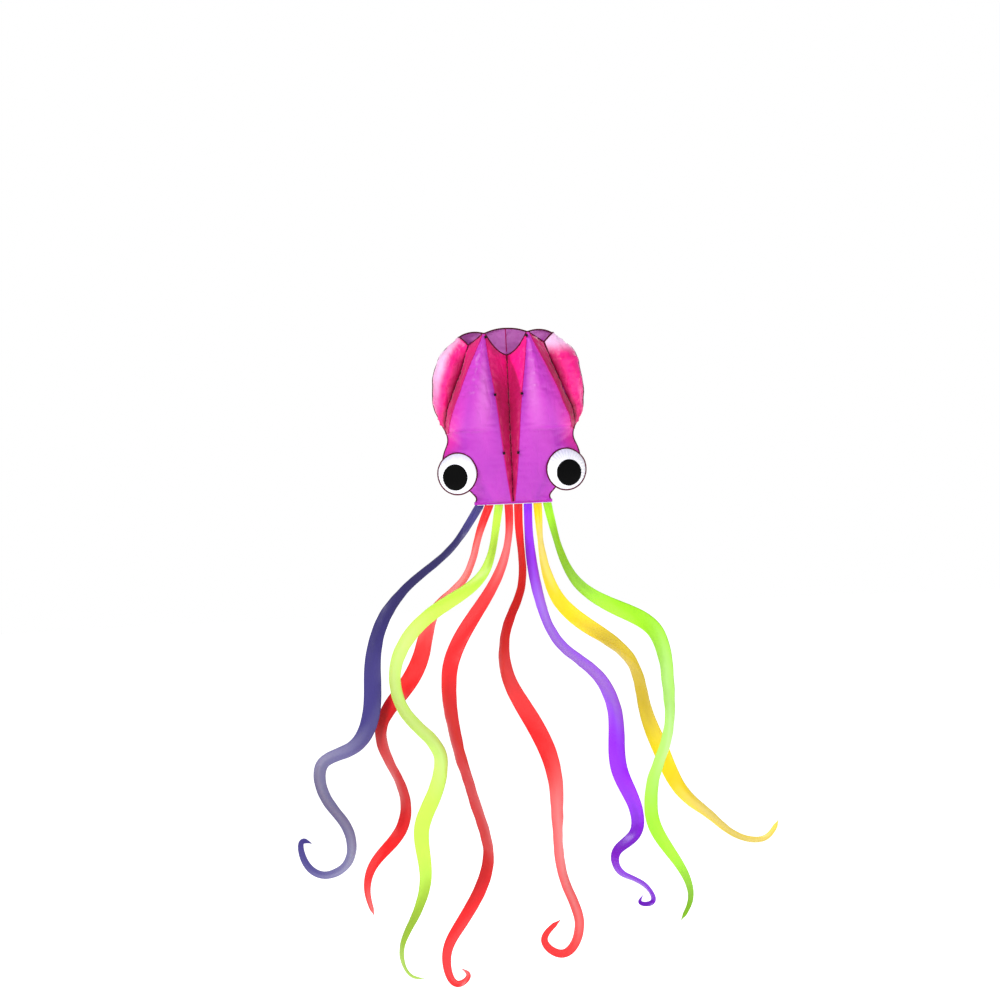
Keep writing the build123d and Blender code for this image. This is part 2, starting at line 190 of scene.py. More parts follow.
# ---------------------------------------------------------------- tails' routes from each root
# sway: fore-and-aft reach, and half waves of it along the tail; twist: turns and where they start
TAILS = {
    "tail_1_navy": dict(slot="navy_tail", colour="navy", sway=(0.026, 2), twist=(0.9, 0.10), route=[
        (0, 0), (-.070, -.105), (-.165, -.225), (-.385, -.400), (-.555, -.600), (-.625, -.860),
        (-.645, -1.115), (-.755, -1.290), (-.920, -1.370), (-.920, -1.530), (-.800, -1.725),
        (-.805, -1.910), (-.925, -1.975), (-1.045, -1.885), (-1.045, -1.785), (-1.000, -1.800)]),
    "tail_2_red": dict(slot="red_tail", colour="red", sway=(0.062, 1), twist=(1.1, 0.55), route=[
        (0, 0), (-.065, -.160), (-.150, -.385), (-.330, -.575), (-.405, -.790), (-.505, -.975),
        (-.645, -1.175), (-.625, -1.350), (-.535, -1.570), (-.565, -1.755), (-.730, -1.950),
        (-.760, -2.080), (-.730, -2.205)]),
    "tail_3_lime": dict(slot="lime_tail", colour="lime", sway=(-0.062, 1), twist=(1.0, 0.30), route=[
        (0, 0), (-.030, -.165), (-.105, -.375), (-.310, -.525), (-.525, -.700), (-.610, -.940),
        (-.530, -1.145), (-.385, -1.330), (-.425, -1.560), (-.500, -1.745), (-.490, -1.985),
        (-.570, -2.240), (-.640, -2.430), (-.585, -2.550), (-.525, -2.565)]),
    "tail_4_scarlet": dict(
        slot="scarlet_tail", colour="scarlet", sway=(0.030, 2), twist=(0.8, 0.80), route=[
            (0, 0), (-.005, -.150), (-.078, -.390), (-.225, -.615), (-.355, -.860), (-.370, -1.070),
            (-.335, -1.310), (-.240, -1.675), (-.197, -1.905), (-.235, -2.055), (-.380, -2.295),
            (-.450, -2.490), (-.385, -2.600), (-.335, -2.555), (-.370, -2.520)]),
    "tail_5_red": dict(slot="red_tail", colour="red", sway=(-0.028, 2), twist=(1.0, 0.05), route=[
        (0, 0), (-.001, -.155), (-.005, -.450), (-.098, -.690), (-.100, -.925), (.030, -1.200),
        (.130, -1.480), (.134, -1.795), (.170, -2.095), (.224, -2.355), (.127, -2.465),
        (.035, -2.385), (.075, -2.320), (.125, -2.280)]),
    "tail_6_violet": dict(
        slot="violet_tail", colour="purple", sway=(0.030, 2), twist=(0.9, 0.45), route=[
            (0, 0), (-.002, -.175), (.034, -.495), (.145, -.775), (.345, -.965), (.425, -1.180),
            (.433, -1.475), (.515, -1.705), (.495, -1.830), (.390, -1.930), (.400, -2.010),
            (.555, -2.120), (.575, -2.205), (.512, -2.200), (.530, -2.165)]),
    "tail_7_yellow": dict(
        slot="yellow_tail", colour="yellow", sway=(0.058, 1), twist=(1.2, 0.70), route=[
            (0, 0), (.008, -.215), (.104, -.550), (.310, -.730), (.475, -.885), (.537, -1.150),
            (.618, -1.390), (.727, -1.620), (.863, -1.745), (1.013, -1.865), (1.165, -1.878),
            (1.233, -1.790)]),
    "tail_8_green": dict(slot="green_tail", colour="green", sway=(-0.058, 1), twist=(1.0, 0.20), route=[
        (0, 0), (.032, -.160), (.140, -.435), (.355, -.590), (.540, -.705), (.610, -.985),
        (.594, -1.300), (.507, -1.540), (.499, -1.765), (.634, -2.010), (.682, -2.200),
        (.628, -2.308)]),
}
LONGEST = "tail_4_scarlet"
TAIL_OUTLINE = [(0.06, 0.49), (0.12, 0.62), (0.33, 0.96), (0.55, 1.00), (0.78, 0.78), (0.92, 0.48)]
TWIST_START = 0.08


# ---------------------------------------------------------------- small helpers
def smoothstep(low, high, value):
    t = min(max((value - low) / (high - low), 0), 1)
    return t * t * (3 - 2 * t)


def nothing_selected():
    if bpy.context.object and bpy.context.object.mode != "OBJECT":
        bpy.ops.object.mode_set(mode="OBJECT")
    bpy.ops.object.select_all(action="DESELECT")


def select_only(piece):
    nothing_selected()
    piece.select_set(True)
    bpy.context.view_layer.objects.active = piece


def apply_modifiers(piece):
    select_only(piece)
    for modifier in list(piece.modifiers):
        bpy.ops.object.modifier_apply(modifier=modifier.name)


def smooth_shaded(piece):
    select_only(piece)
    bpy.ops.object.shade_smooth()


def coordinates(mesh):
    points = np.empty(len(mesh.vertices) * 3)
    mesh.vertices.foreach_get("co", points)
    return points.reshape(-1, 3)


def linked(name, data):
    """A new object in the scene."""
    piece = bpy.data.objects.new(name, data)
    bpy.context.scene.collection.objects.link(piece)
    return piece


def quads(rows, columns, start=0):
    """Numbers of a grid's points from start on, and the corners of its faces."""
    index = np.arange(rows * columns).reshape(rows, columns) + start
    corners = [index[:-1, :-1], index[:-1, 1:], index[1:, 1:], index[1:, :-1]]
    return index, np.stack(corners, axis=-1).reshape(-1, 4)


def grid_mesh(name, points, texture):
    """A sheet from rows of points; texture holds each point's place on the flat cloth."""
    faces = quads(*points.shape[:2])[1]
    mesh = bpy.data.meshes.new(name)
    mesh.from_pydata(points.reshape(-1, 3).tolist(), [], faces.tolist())
    layer = mesh.uv_layers.new(name="Cloth")
    flat = texture.reshape(-1, 2)
    corner = np.empty(len(mesh.loops), int)
    mesh.loops.foreach_get("vertex_index", corner)
    layer.data.foreach_set("uv", flat[corner].ravel())
    return linked(name, mesh)


def walled(piece, thickness, offset):
    """Gives a sheet its thickness."""
    wall = piece.modifiers.new("Wall", "SOLIDIFY")
    wall.thickness = thickness
    wall.offset = offset
    apply_modifiers(piece)
    smooth_shaded(piece)


def ends_closed(piece):
    """Joins a tube's lengthwise edge and closes its ends."""
    mesh = bmesh.new()
    mesh.from_mesh(piece.data)
    bmesh.ops.remove_doubles(mesh, verts=mesh.verts, dist=1e-6)
    bmesh.ops.holes_fill(mesh, edges=[edge for edge in mesh.edges if edge.is_boundary], sides=0)
    bmesh.ops.recalc_face_normals(mesh, faces=mesh.faces)
    mesh.to_mesh(piece.data)
    mesh.free()
    smooth_shaded(piece)


def set_attribute(mesh, name, values):
    attribute = mesh.attributes.get(name) or mesh.attributes.new(name, "FLOAT", "POINT")
    attribute.data.foreach_set("value", np.asarray(values, np.float32).ravel())


def finish(piece, body, slot, material, *nodes):
    """Gives a piece its material, hides the frame's nodes that it stands for, and hangs it on the body that it
    rides on.
    """
    piece.data.materials.clear()
    piece.data.materials.append(material)
    if nodes:
        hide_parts(*nodes)
    if body:
        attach(piece, body)


class Seam:
    """The middle of a rolled binding, read off its solid level by level."""

    def __init__(self, node, steps=90):
        mesh = frame["nodes"][node].data
        points = coordinates(mesh)
        ends = np.empty(len(mesh.edges) * 2, int)
        mesh.edges.foreach_get("vertices", ends)
        a, b = points[ends[0::2]], points[ends[1::2]]
        self.low, self.high = points[:, 2].min(), points[:, 2].max()
        self.levels = np.linspace(self.low + SEAM_TRIM, self.high - SEAM_TRIM, steps)
        self.middles = []
        for level in self.levels:
            crossing = (a[:, 2] - level) * (b[:, 2] - level) < 0
            p, q = a[crossing], b[crossing]
            cut = p + (q - p) * ((level - p[:, 2]) / (q[:, 2] - p[:, 2]))[:, None]
            self.middles.append((cut.min(0) + cut.max(0)) / 2)
        self.middles = np.array(self.middles)

    def at(self, level):
        """The seam at a height, carried on straight past what was read."""
        step = self.levels[1] - self.levels[0]
        place = (level - self.levels[0]) / step
        i = int(min(max(math.floor(place), 0), len(self.levels) - 2))
        return self.middles[i] + (self.middles[i + 1] - self.middles[i]) * (place - i)


class JoinedSeam:
    """One seam up to a level and another above it, with a smooth change between."""

    def __init__(self, below, above, change):
        self.below, self.above = below, above
        self.low, self.high = below.low, above.high
        self.start, self.end = above.low, above.low + change

    def at(self, level):
        share = smoothstep(self.start, self.end, level)
        if share == 0:
            return self.below.at(level)
        if share == 1:
            return self.above.at(level)
        return self.below.at(level) * (1 - share) + self.above.at(level) * share


def crumpled(points):
    """Points of the head as the loose nylon leaves them: uneven over the lobes, true at the ridges."""
    moved = np.array(points, float)
    for place in moved.reshape(-1, 3):
        level = (place[2] - HEM_LEVEL) / HEAD_HEIGHT
        share = smoothstep(0.19, 0.34, abs(place[0])) * smoothstep(0.40, 0.56, level)
        if share:
            spot = Vector(place)
            place += share * (0.010 * np.array(noise.noise_vector(spot * 8.5))
                              + 0.0035 * np.array(noise.noise_vector(spot * 24)))
    return moved


def run_along(points):
    """Distance along a line from its first point to each of its points."""
    return np.concatenate([[0], np.cumsum(np.linalg.norm(np.diff(points, axis=0), axis=1))])


def evenly(points, step):
    """The same line with its points a step apart."""
    points = np.asarray(points, float)
    run = run_along(points)
    wanted = np.linspace(0, run[-1], max(3, int(run[-1] / step)))
    return np.stack([np.interp(wanted, run, points[:, k]) for k in range(3)], axis=1)


def eased(points, times, closed=False):
    """A line with its kinks eased by averaging each point with those beside it."""
    points = np.array(points, float)
    for _ in range(times):
        before = np.roll(points, 1, axis=0)
        after = np.roll(points, -1, axis=0)
        middle = points / 2 + (before + after) / 4
        if not closed:
            middle[0], middle[-1] = points[0], points[-1]
        points = middle
    return points


def rolled_tape(name, line, radius, face=(0, -1, 0), gather=0.07, closed=False):
    """A tape rolled over a seam along a line, drawn in by its stitches."""
    around = 12
    line = np.asarray(line, float)
    run = run_along(line)
    if closed:
        tangents = np.roll(line, -1, axis=0) - np.roll(line, 1, axis=0)
    else:
        tangents = np.gradient(line, axis=0)
    rows = np.zeros((len(line), around + 1, 3))
    flat = np.zeros((len(line), around + 1, 2))
    for i, (place, tangent) in enumerate(zip(line, tangents)):
        tangent = tangent / np.linalg.norm(tangent)
        out = np.array(face, float) - tangent * np.dot(face, tangent)
        out /= np.linalg.norm(out)
        side = np.cross(tangent, out)
        pinch = 1 + gather * math.sin(run[i] * math.tau / 0.011) * (0.6 + 0.4 * math.sin(run[i] * 31))
        for j in range(around + 1):
            angle = math.tau * j / around
            rows[i, j] = place + radius * pinch * (math.cos(angle) * side + math.sin(angle) * out)
            flat[i, j] = (run[i], j / around)
    if closed:
        rows[-1] = rows[0]
    piece = grid_mesh(name, rows, flat)
    ends_closed(piece)
    return piece


# ---------------------------------------------------------------- node groups and finishes
def new_group(name, inputs, outputs):
    """An empty node group, with its input and output nodes."""
    group = bpy.data.node_groups.new(name, "ShaderNodeTree")
    for label, kind, default in inputs:
        socket = group.interface.new_socket(name=label, in_out="INPUT", socket_type=kind)
        if default is not None:
            socket.default_value = default
    for label, kind in outputs:
        group.interface.new_socket(name=label, in_out="OUTPUT", socket_type=kind)
    return group, group.nodes.new("NodeGroupInput"), group.nodes.new("NodeGroupOutput")


class Maker:
    """Short calls for adding nodes to one tree."""

    def __init__(self, tree):
        self.tree = tree

    def node(self, kind, **settings):
        made = self.tree.nodes.new(kind)
        for key, value in settings.items():
            setattr(made, key, value)
        return made

    def plug(self, value, socket):
        if hasattr(value, "is_output"):
            self.tree.links.new(value, socket)
        else:
            socket.default_value = value

    def math(self, operation, a, b=None, clamp=False):
        made = self.node("ShaderNodeMath", operation=operation, use_clamp=clamp)
        self.plug(a, made.inputs[0])
        if b is not None:
            self.plug(b, made.inputs[1])
        return made.outputs[0]

    def fill(self, node, **values):
        """Sets or links inputs by name, with an underscore for each space."""
        for key, value in values.items():
            self.plug(value, node.inputs[key.replace("_", " ")])
        return node

    def mix(self, factor, a, b):
        made = self.node("ShaderNodeMix", data_type="RGBA")
        for place, value in ((0, factor), (6, a), (7, b)):
            self.plug(value, made.inputs[place])
        return made.outputs[2]

    def noise(self, vector, scale, detail=3.0, roughness=0.5):
        made = self.fill(self.node("ShaderNodeTexNoise"), Vector=vector, Scale=scale,
                         Detail=detail, Roughness=roughness)
        return made.outputs["Fac"]

    def ramp(self, value, low, high):
        made = self.fill(self.node("ShaderNodeMapRange", clamp=True), Value=value,
                         From_Min=low, From_Max=high)
        return made.outputs["Result"]

    def bump(self, height, strength, distance, **under):
        made = self.fill(self.node("ShaderNodeBump"), Height=height, Strength=strength,
                         Distance=distance, **under)
        return made.outputs["Normal"]


def weave_group():
    """Ripstop: fine threads, with a doubled thread every few millimetres both ways."""
    group, source, result = new_group(
        "Ripstop weave",
        [("Place", "NodeSocketVector", None), ("Grid", "NodeSocketFloat", 0.006),
         ("Thread", "NodeSocketFloat", 0.0012)],
        [("Height", "NodeSocketFloat"), ("Grid lines", "NodeSocketFloat")])
    make = Maker(group)
    split = make.node("ShaderNodeSeparateXYZ")
    group.links.new(source.outputs["Place"], split.inputs[0])
    lines, threads = [], []
    for axis in (0, 1):
        share = make.math("FRACT", make.math("DIVIDE", split.outputs[axis], source.outputs["Grid"]))
        lines.append(make.math("LESS_THAN", share, 0.16))
        turn = make.math("MULTIPLY", make.math("DIVIDE", split.outputs[axis], source.outputs["Thread"]),
                         math.tau)
        threads.append(make.math("SINE", turn))
    grid = make.math("MAXIMUM", lines[0], lines[1])
    cloth = make.math("MULTIPLY", make.math("MULTIPLY", threads[0], threads[1]), 0.3)
    group.links.new(make.math("ADD", cloth, grid), result.inputs["Height"])
    group.links.new(grid, result.inputs["Grid lines"])
    return group


def crease_group():
    """Soft creases and cloudy shade that a packed and unpacked cloth keeps."""
    group, source, result = new_group(
        "Creased cloth",
        [("Place", "NodeSocketVector", None), ("Size", "NodeSocketFloat", 9.0),
         ("Stretch", "NodeSocketFloat", 0.35)],
        [("Height", "NodeSocketFloat"), ("Shade", "NodeSocketFloat")])
    make = Maker(group)
    split = make.node("ShaderNodeSeparateXYZ")
    group.links.new(source.outputs["Place"], split.inputs[0])
    joined = make.node("ShaderNodeCombineXYZ")
    group.links.new(split.outputs[0], joined.inputs[0])
    group.links.new(split.outputs[1], joined.inputs[1])
    group.links.new(make.math("MULTIPLY", split.outputs[2], source.outputs["Stretch"]), joined.inputs[2])
    large = make.noise(joined.outputs[0], source.outputs["Size"], 4.0, 0.55)
    ridge = make.math("ABSOLUTE", make.math("SUBTRACT", large, 0.5))
    crease = make.ramp(ridge, 0.0, 0.06)
    fine = make.noise(source.outputs["Place"], 60.0, 3.0, 0.6)
    group.links.new(
        make.math("ADD", make.math("MULTIPLY", crease, 0.7), make.math("MULTIPLY", fine, 0.3)),
        result.inputs["Height"])
    group.links.new(large, result.inputs["Shade"])
    return group


def stitch_group():
    """A row of stitches along a piece: dashes of thread on both sides of a rolled edge."""
    group, source, result = new_group(
        "Stitch row",
        [("Along", "NodeSocketFloat", None), ("Across", "NodeSocketFloat", None),
         ("Pitch", "NodeSocketFloat", 0.004), ("Row", "NodeSocketFloat", 0.5),
         ("Width", "NodeSocketFloat", 0.06)],
        [("Mask", "NodeSocketFloat")])
    make = Maker(group)
    share = make.math("FRACT", make.math("DIVIDE", source.outputs["Along"], source.outputs["Pitch"]))
    dash = make.math("LESS_THAN", share, 0.68)
    away = make.math("ABSOLUTE", make.math("SUBTRACT", source.outputs["Across"], source.outputs["Row"]))
    line = make.math("LESS_THAN", away, source.outputs["Width"])
    group.links.new(make.math("MULTIPLY", dash, line), result.inputs["Mask"])
    return group


GROUPS = {}


def group(name, build):
    """The node group of that name, built when first asked for."""
    if name not in GROUPS:
        GROUPS[name] = build()
    return GROUPS[name]


def new_material(name):
    """A material, a Maker for its tree, and its shader."""
    material = bpy.data.materials.new(name)
    material.use_nodes = True
    tree = material.node_tree
    shader = tree.nodes["Principled BSDF"]
    return material, Maker(tree), shader


def place_group(make, kind, **values):
    """Puts a node group into a tree."""
    return make.fill(make.node("ShaderNodeGroup", node_tree=kind), **values)


def ripstop(name, main, deep, warm=None, pale=None, glow=0.06, roughness=0.42, sheen=0.3, coat=0.1,
            bump=0.35, streak=0.30, specular=0.4, grid=0.14):
    """Coated ripstop nylon, with painted shade in its deep colour, a tinge of a second colour where the warm share
    lies, a painted highlight in its pale colour, and an emission that paints a glow of light through the cloth.
    """
    material, make, shader = new_material(name)
    texture = make.node("ShaderNodeTexCoord")
    weave = place_group(make, group("weave", weave_group), Place=texture.outputs["UV"])
    crease = place_group(make, group("crease", crease_group), Place=texture.outputs["Object"])
    clouds = make.math("MULTIPLY", make.math("SUBTRACT", crease.outputs["Shade"], 0.5), streak * 3)
    # Painted shade: the deep colour is mixed in by each point's shade share, made patchy by the random clouds.
    fold = make.node("ShaderNodeAttribute", attribute_name="fold").outputs["Fac"]
    cloth = make.mix(make.math("ADD", fold, clouds, clamp=True), (*main, 1), (*deep, 1))
    shining = glow
    # Tints: warm mixes in a second colour, pale mixes in a painted highlight.
    for label, tone in (("warm", warm), ("pale", pale)):
        if tone:
            share = make.node("ShaderNodeAttribute", attribute_name=label).outputs["Fac"]
            patchy = make.math("MULTIPLY", share, make.math("ADD", clouds, 1.0), clamp=True)
            cloth = make.mix(patchy, cloth, (*tone, 1))
            shining = make.math("ADD", make.math("MULTIPLY", patchy, 0.12), glow)
    lighter = [min(1, value * 1.3 + 0.004) for value in main]
    cloth = make.mix(make.math("MULTIPLY", weave.outputs["Grid lines"], grid), cloth, (*lighter, 1))
    rough = make.math("ADD", make.math("MULTIPLY", crease.outputs["Shade"], 0.22), roughness - 0.11)
    creased = make.bump(crease.outputs["Height"], bump, 0.004)
    woven = make.bump(weave.outputs["Height"], 0.25, 0.0002, Normal=creased)
    # The emission is a painted glow that stands for light coming through the thin cloth, stronger where the pale
    # tint lies, or the warm one where there is no pale.
    make.fill(shader, Base_Color=cloth, Emission_Color=cloth, Emission_Strength=shining,
              Roughness=rough, Sheen_Weight=sheen, Sheen_Roughness=0.35, Coat_Weight=coat,
              Coat_Roughness=0.25, Specular_IOR_Level=specular, Normal=woven)
    return material


def tape(name, main, thread):
    """Folded tape or webbing: close cross threads, and a row of stitches down its face."""
    material, make, shader = new_material(name)
    texture = make.node("ShaderNodeTexCoord")
    split = make.node("ShaderNodeSeparateXYZ")
    make.plug(texture.outputs["UV"], split.inputs[0])
    stitch = place_group(make, group("stitch", stitch_group), Along=split.outputs[0],
                         Across=split.outputs[1])
    ribs = make.math("SINE", make.math("MULTIPLY", split.outputs[0], math.tau / 0.0016))
    wear = make.noise(texture.outputs["Object"], 35.0)
    body = make.mix(make.math("MULTIPLY", wear, 0.4), (*main, 1), tuple(v * 0.5 for v in main) + (1,))
    height = make.math("ADD", make.math("MULTIPLY", ribs, 0.3), stitch.outputs["Mask"])
    make.fill(shader, Base_Color=make.mix(stitch.outputs["Mask"], body, (*thread, 1)),
              Roughness=make.math("ADD", make.math("MULTIPLY", wear, 0.2), 0.55),
              Sheen_Weight=0.05, Specular_IOR_Level=0.15, Normal=make.bump(height, 0.5, 0.0005))
    return material


MATERIALS = {}


def material(name):
    """The finish of a slot, made when first asked for."""
    if name in MATERIALS:
        return MATERIALS[name]
    tint = bpy.context.scene.kite_colours

    # A colour and its darker copy for painted shade; without a given copy, 0.42 of the colour.
    def shades(main, deep=None):
        main = tuple(main)
        return main, tuple(deep) if deep is not None else tuple(value * 0.42 for value in main)

    # A lighter copy of a colour, for painted highlight.
    def tinged(main, amount):
        return tuple(value + (1 - value) * amount for value in main)

    recipes = {
        "violet_ripstop": lambda: ripstop(
            "Violet ripstop", *shades(tint.violet, tint.violet_deep), warm=tuple(tint.pink),
            pale=tinged(tint.violet, 0.45)),
        "pink_ripstop": lambda: ripstop(
            "Pink ripstop", *shades(tint.pink, tint.pink_deep), warm=tuple(tint.violet),
            pale=tuple(tint.pale), bump=0.6),
        "rib_ripstop": lambda: ripstop("Rib ripstop", *shades(tint.violet, tint.violet_deep)),
        "crimson_binding": lambda: tape("Crimson binding", tuple(tint.binding), tuple(tint.pink_deep)),
        "pink_binding": lambda: tape("Pink binding", tuple(tint.pink_seam), tuple(tint.pink)),
        "hem_binding": lambda: tape("Hem binding", tuple(tint.violet_deep), tuple(tint.violet)),
        "eye_white": lambda: ripstop(
            "Eye white", *shades(tint.white, tint.white_deep), glow=0.06, sheen=0.2, streak=0.15),
        "eye_black": lambda: ripstop(
            "Eye black", *shades(tint.black, (0.0006, 0.0006, 0.001)), glow=0.0, roughness=0.6,
            sheen=0.0, coat=0.0, specular=0.08, grid=0.05),
        "black_webbing": lambda: tape("Black webbing", tuple(tint.black), (0.03, 0.03, 0.034)),
    }
    for tail in TAILS.values():
        main = getattr(tint, tail["colour"])
        # Each tail: its colour, a darker copy for painted shade and a lighter copy for painted highlight.
        recipes.setdefault(tail["slot"], lambda main=main, tail=tail: ripstop(
            tail["slot"].replace("_", " ").capitalize(), *shades(main), pale=tinged(main, 0.38),
            glow=0.05, roughness=0.36, sheen=0.2, coat=0.2, bump=0.18, streak=0.12, grid=0.08))
    MATERIALS[name] = recipes[name]()
    return MATERIALS[name]


# ---------------------------------------------------------------- head
def filled(t, base, rise, low=0.05, high=0.95):
    """How far the air lifts a panel at t of its height."""
    return base + rise * math.sin(math.pi * (low + (high - low) * t))


def cloth_points(a, b, span_a, span_b, away, rise, spacing):
    """Rows of points between two seams, arched towards away, and their flat places."""
    tall = max(span_a[1] - span_a[0], span_b[1] - span_b[0])
    rows = max(8, int(tall / spacing))
    ends = []
    for i in range(rows + 1):
        t = i / rows
        ends.append((a.at(span_a[0] + (span_a[1] - span_a[0]) * t),
                     b.at(span_b[0] + (span_b[1] - span_b[0]) * t)))
    wide = max(np.linalg.norm(right - left) for left, right in ends)
    columns = max(6, int(wide / spacing))
    points = np.zeros((rows + 1, columns + 1, 3))
    flat = np.zeros((rows + 1, columns + 1, 2))
    away = np.array(away, float)
    for i, (left, right) in enumerate(ends):
        t = i / rows
        chord = right - left
        along = chord / np.linalg.norm(chord)
        normal = away - along * away.dot(along)
        normal /= np.linalg.norm(normal)
        limit = ARCH_LIMIT * np.linalg.norm(chord)
        arch = max(-limit, min(rise(t), limit))
        for j in range(columns + 1):
            u = j / columns
            points[i, j] = left + chord * u + normal * arch * 4 * u * (1 - u)
            flat[i, j] = ((u - 0.5) * np.linalg.norm(chord), t * tall)
    return points, flat


def head_plan():
    """Each cloth piece: its node, slot, seams, spans, outward side and fill; one entry per side."""
    seams = {name: Seam(name) for name in frame["nodes"] if name.endswith(
        ("binding", "binding_left", "binding_right")) and not name.startswith("mouth")}
    plan = []
    for name, side in SIDES.items():
        outline = seams[f"edge_binding_{name}"]
        ridge = seams[f"ridge_binding_{name}"]
        shoulder = seams[f"shoulder_binding_{name}"]
        side_valley = seams[f"side_valley_binding_{name}"]
        back_side = seams[f"back_side_binding_{name}"]
        valley = seams["centre_valley_binding"]
        back_middle = seams["back_middle_binding"]
        front_outline = JoinedSeam(outline, shoulder, 0.03)
        whole = (ridge.low, ridge.high)
        plan += [
            (f"front_panel_{name}", "violet_ripstop", ridge, front_outline, whole,
             (outline.low, shoulder.high), (0, -1, 0), lambda t: filled(t, 0.004, 0.046, 0, 1)),
            (f"centre_gore_{name}", "pink_ripstop", valley, ridge, (valley.low, valley.high), whole,
             (-side, -0.6, 0), lambda t: -filled(t, 0.002, 0.005)),
            (f"side_gore_{name}", "pink_ripstop", shoulder, side_valley, (shoulder.low, shoulder.high),
             (side_valley.low, side_valley.high), (side, -0.4, 0), lambda t: -filled(t, 0.002, 0.004)),
            (f"side_lobe_{name}", "pink_ripstop", side_valley, outline,
             (side_valley.low, side_valley.high), (side_valley.low, outline.high),
             (side * 0.3, -1, 0), lambda t: filled(t, 0.004, 0.066, 0.06, 0.93)),
            (f"back_panel_side_{name}", "violet_ripstop", outline, back_side,
             (outline.low, outline.high), (back_side.low, back_side.high), (side * 0.3, 1, 0),
             lambda t: filled(t, 0.004, 0.030)),
            (f"back_panel_middle_{name}", "violet_ripstop", back_side, back_middle,
             (back_side.low, back_side.high), (back_middle.low, back_middle.high), (0, 1, 0),
             lambda t: filled(t, 0.003, 0.012)),
        ]
    return plan, seams


def blown(parts, settings):
    """Fills all cloth parts with air in one cloth simulation; their borders are sewn and stay put."""
    points = np.concatenate([part["points"].reshape(-1, 3) for part in parts])
    faces, start = [], 0
    pinned = []
    for part in parts:
        rows, columns = part["points"].shape[:2]
        index, corners = quads(rows, columns, start)
        faces.append(corners[:, ::-1] if part["flip"] else corners)
        border = np.zeros((rows, columns), bool)
        border[0] = border[-1] = True
        border[:, 0] = border[:, -1] = True
        pinned += index[border].tolist()
        part["range"] = (start, start + rows * columns)
        start += rows * columns
    mesh = bpy.data.meshes.new("air_test")
    mesh.from_pydata(points.tolist(), [], np.concatenate(faces).tolist())
    body = linked("air_test", mesh)
    sewn = body.vertex_groups.new(name="sewn")
    sewn.add(pinned, 1.0, "REPLACE")
    cloth = body.modifiers.new("Cloth", "CLOTH")
    for key, value in dict(
            quality=5, mass=0.1, tension_stiffness=12, compression_stiffness=6, shear_stiffness=4,
            bending_stiffness=0.15, use_pressure=True, uniform_pressure_force=settings.pressure,
            shrink_min=-settings.slack, vertex_group_mass="sewn").items():
        setattr(cloth.settings, key, value)
    cloth.settings.effector_weights.gravity = 0
    cloth.collision_settings.use_collision = False
    scene = bpy.context.scene
    cloth.point_cache.frame_start = 1
    cloth.point_cache.frame_end = AIR_FRAMES
    for step in range(1, AIR_FRAMES + 1):
        scene.frame_set(step)
    graph = bpy.context.evaluated_depsgraph_get()
    blown_mesh = body.evaluated_get(graph).to_mesh()
    result = coordinates(blown_mesh)
    body.evaluated_get(graph).to_mesh_clear()
    scene.frame_set(1)
    bpy.data.objects.remove(body)
    moved = result - points
    far = np.linalg.norm(moved, axis=1)
    limit = settings.reach * np.tanh(far / settings.reach) / np.maximum(far, 1e-9)
    result = points + moved * limit[:, None]
    for part in parts:
        low, high = part["range"]
        part["points"] = result[low:high].reshape(part["points"].shape)


def normals_of(points, flip):
    """Normals of a grid of points."""
    down = np.gradient(points, axis=0)
    across = np.gradient(points, axis=1)
    normal = np.cross(across, down)
    normal /= np.maximum(np.linalg.norm(normal, axis=2, keepdims=True), 1e-12)
    return -normal if flip else normal


def creased(part, settings, seed):
    """Sharp creases where a lobe's spare cloth has been packed, and faint ones elsewhere."""
    points = part["points"]
    normal = normals_of(points, part["flip"])
    rows, columns = points.shape[:2]
    deepest = settings.crease if part["node"].startswith("side_lobe") else settings.crease * 0.3
    for i in range(1, rows - 1):
        for j in range(1, columns - 1):
            u = j / (columns - 1)
            spot = Vector(points[i, j])
            bend = noise.noise_vector(spot * 11) * 0.05
            spot = (spot + bend) * 24
            spot.z = spot.z * 0.6 + seed
            ridge = 1 - abs(noise.noise(spot)) * 2.4
            held = min(1.0, 6 * u * (1 - u))
            points[i, j] += normal[i, j] * deepest * held * (max(ridge, 0) ** 2 - 0.35)


def puckered(part, settings, seed):
    """Short gathers beside the long seams, strongest at the thread."""
    points, flat = part["points"], part["flat"]
    normal = normals_of(points, part["flip"])
    rows, columns = points.shape[:2]
    for i in range(rows):
        wide = flat[i, -1, 0] - flat[i, 0, 0]
        s = flat[i, 0, 1]
        for j in range(1, columns - 1):
            for edge, near in ((0, j / (columns - 1) * wide), (1, (1 - j / (columns - 1)) * wide)):
                wave = noise.noise(Vector((s * 38, edge * 7.3 + seed, near * 9)))
                sharp = noise.noise(Vector((s * 90, edge * 3.1 + seed + 40, 0)))
                size = settings.pucker * math.exp(-near / 0.032) * smoothstep(0, 0.010, near)
                points[i, j] += normal[i, j] * size * (2.2 * wave + 1.2 * sharp)


def bump_at(value, middle, width):
    """One at the middle, falling to nothing on both sides."""
    return math.exp(-((value - middle) / width) ** 2)


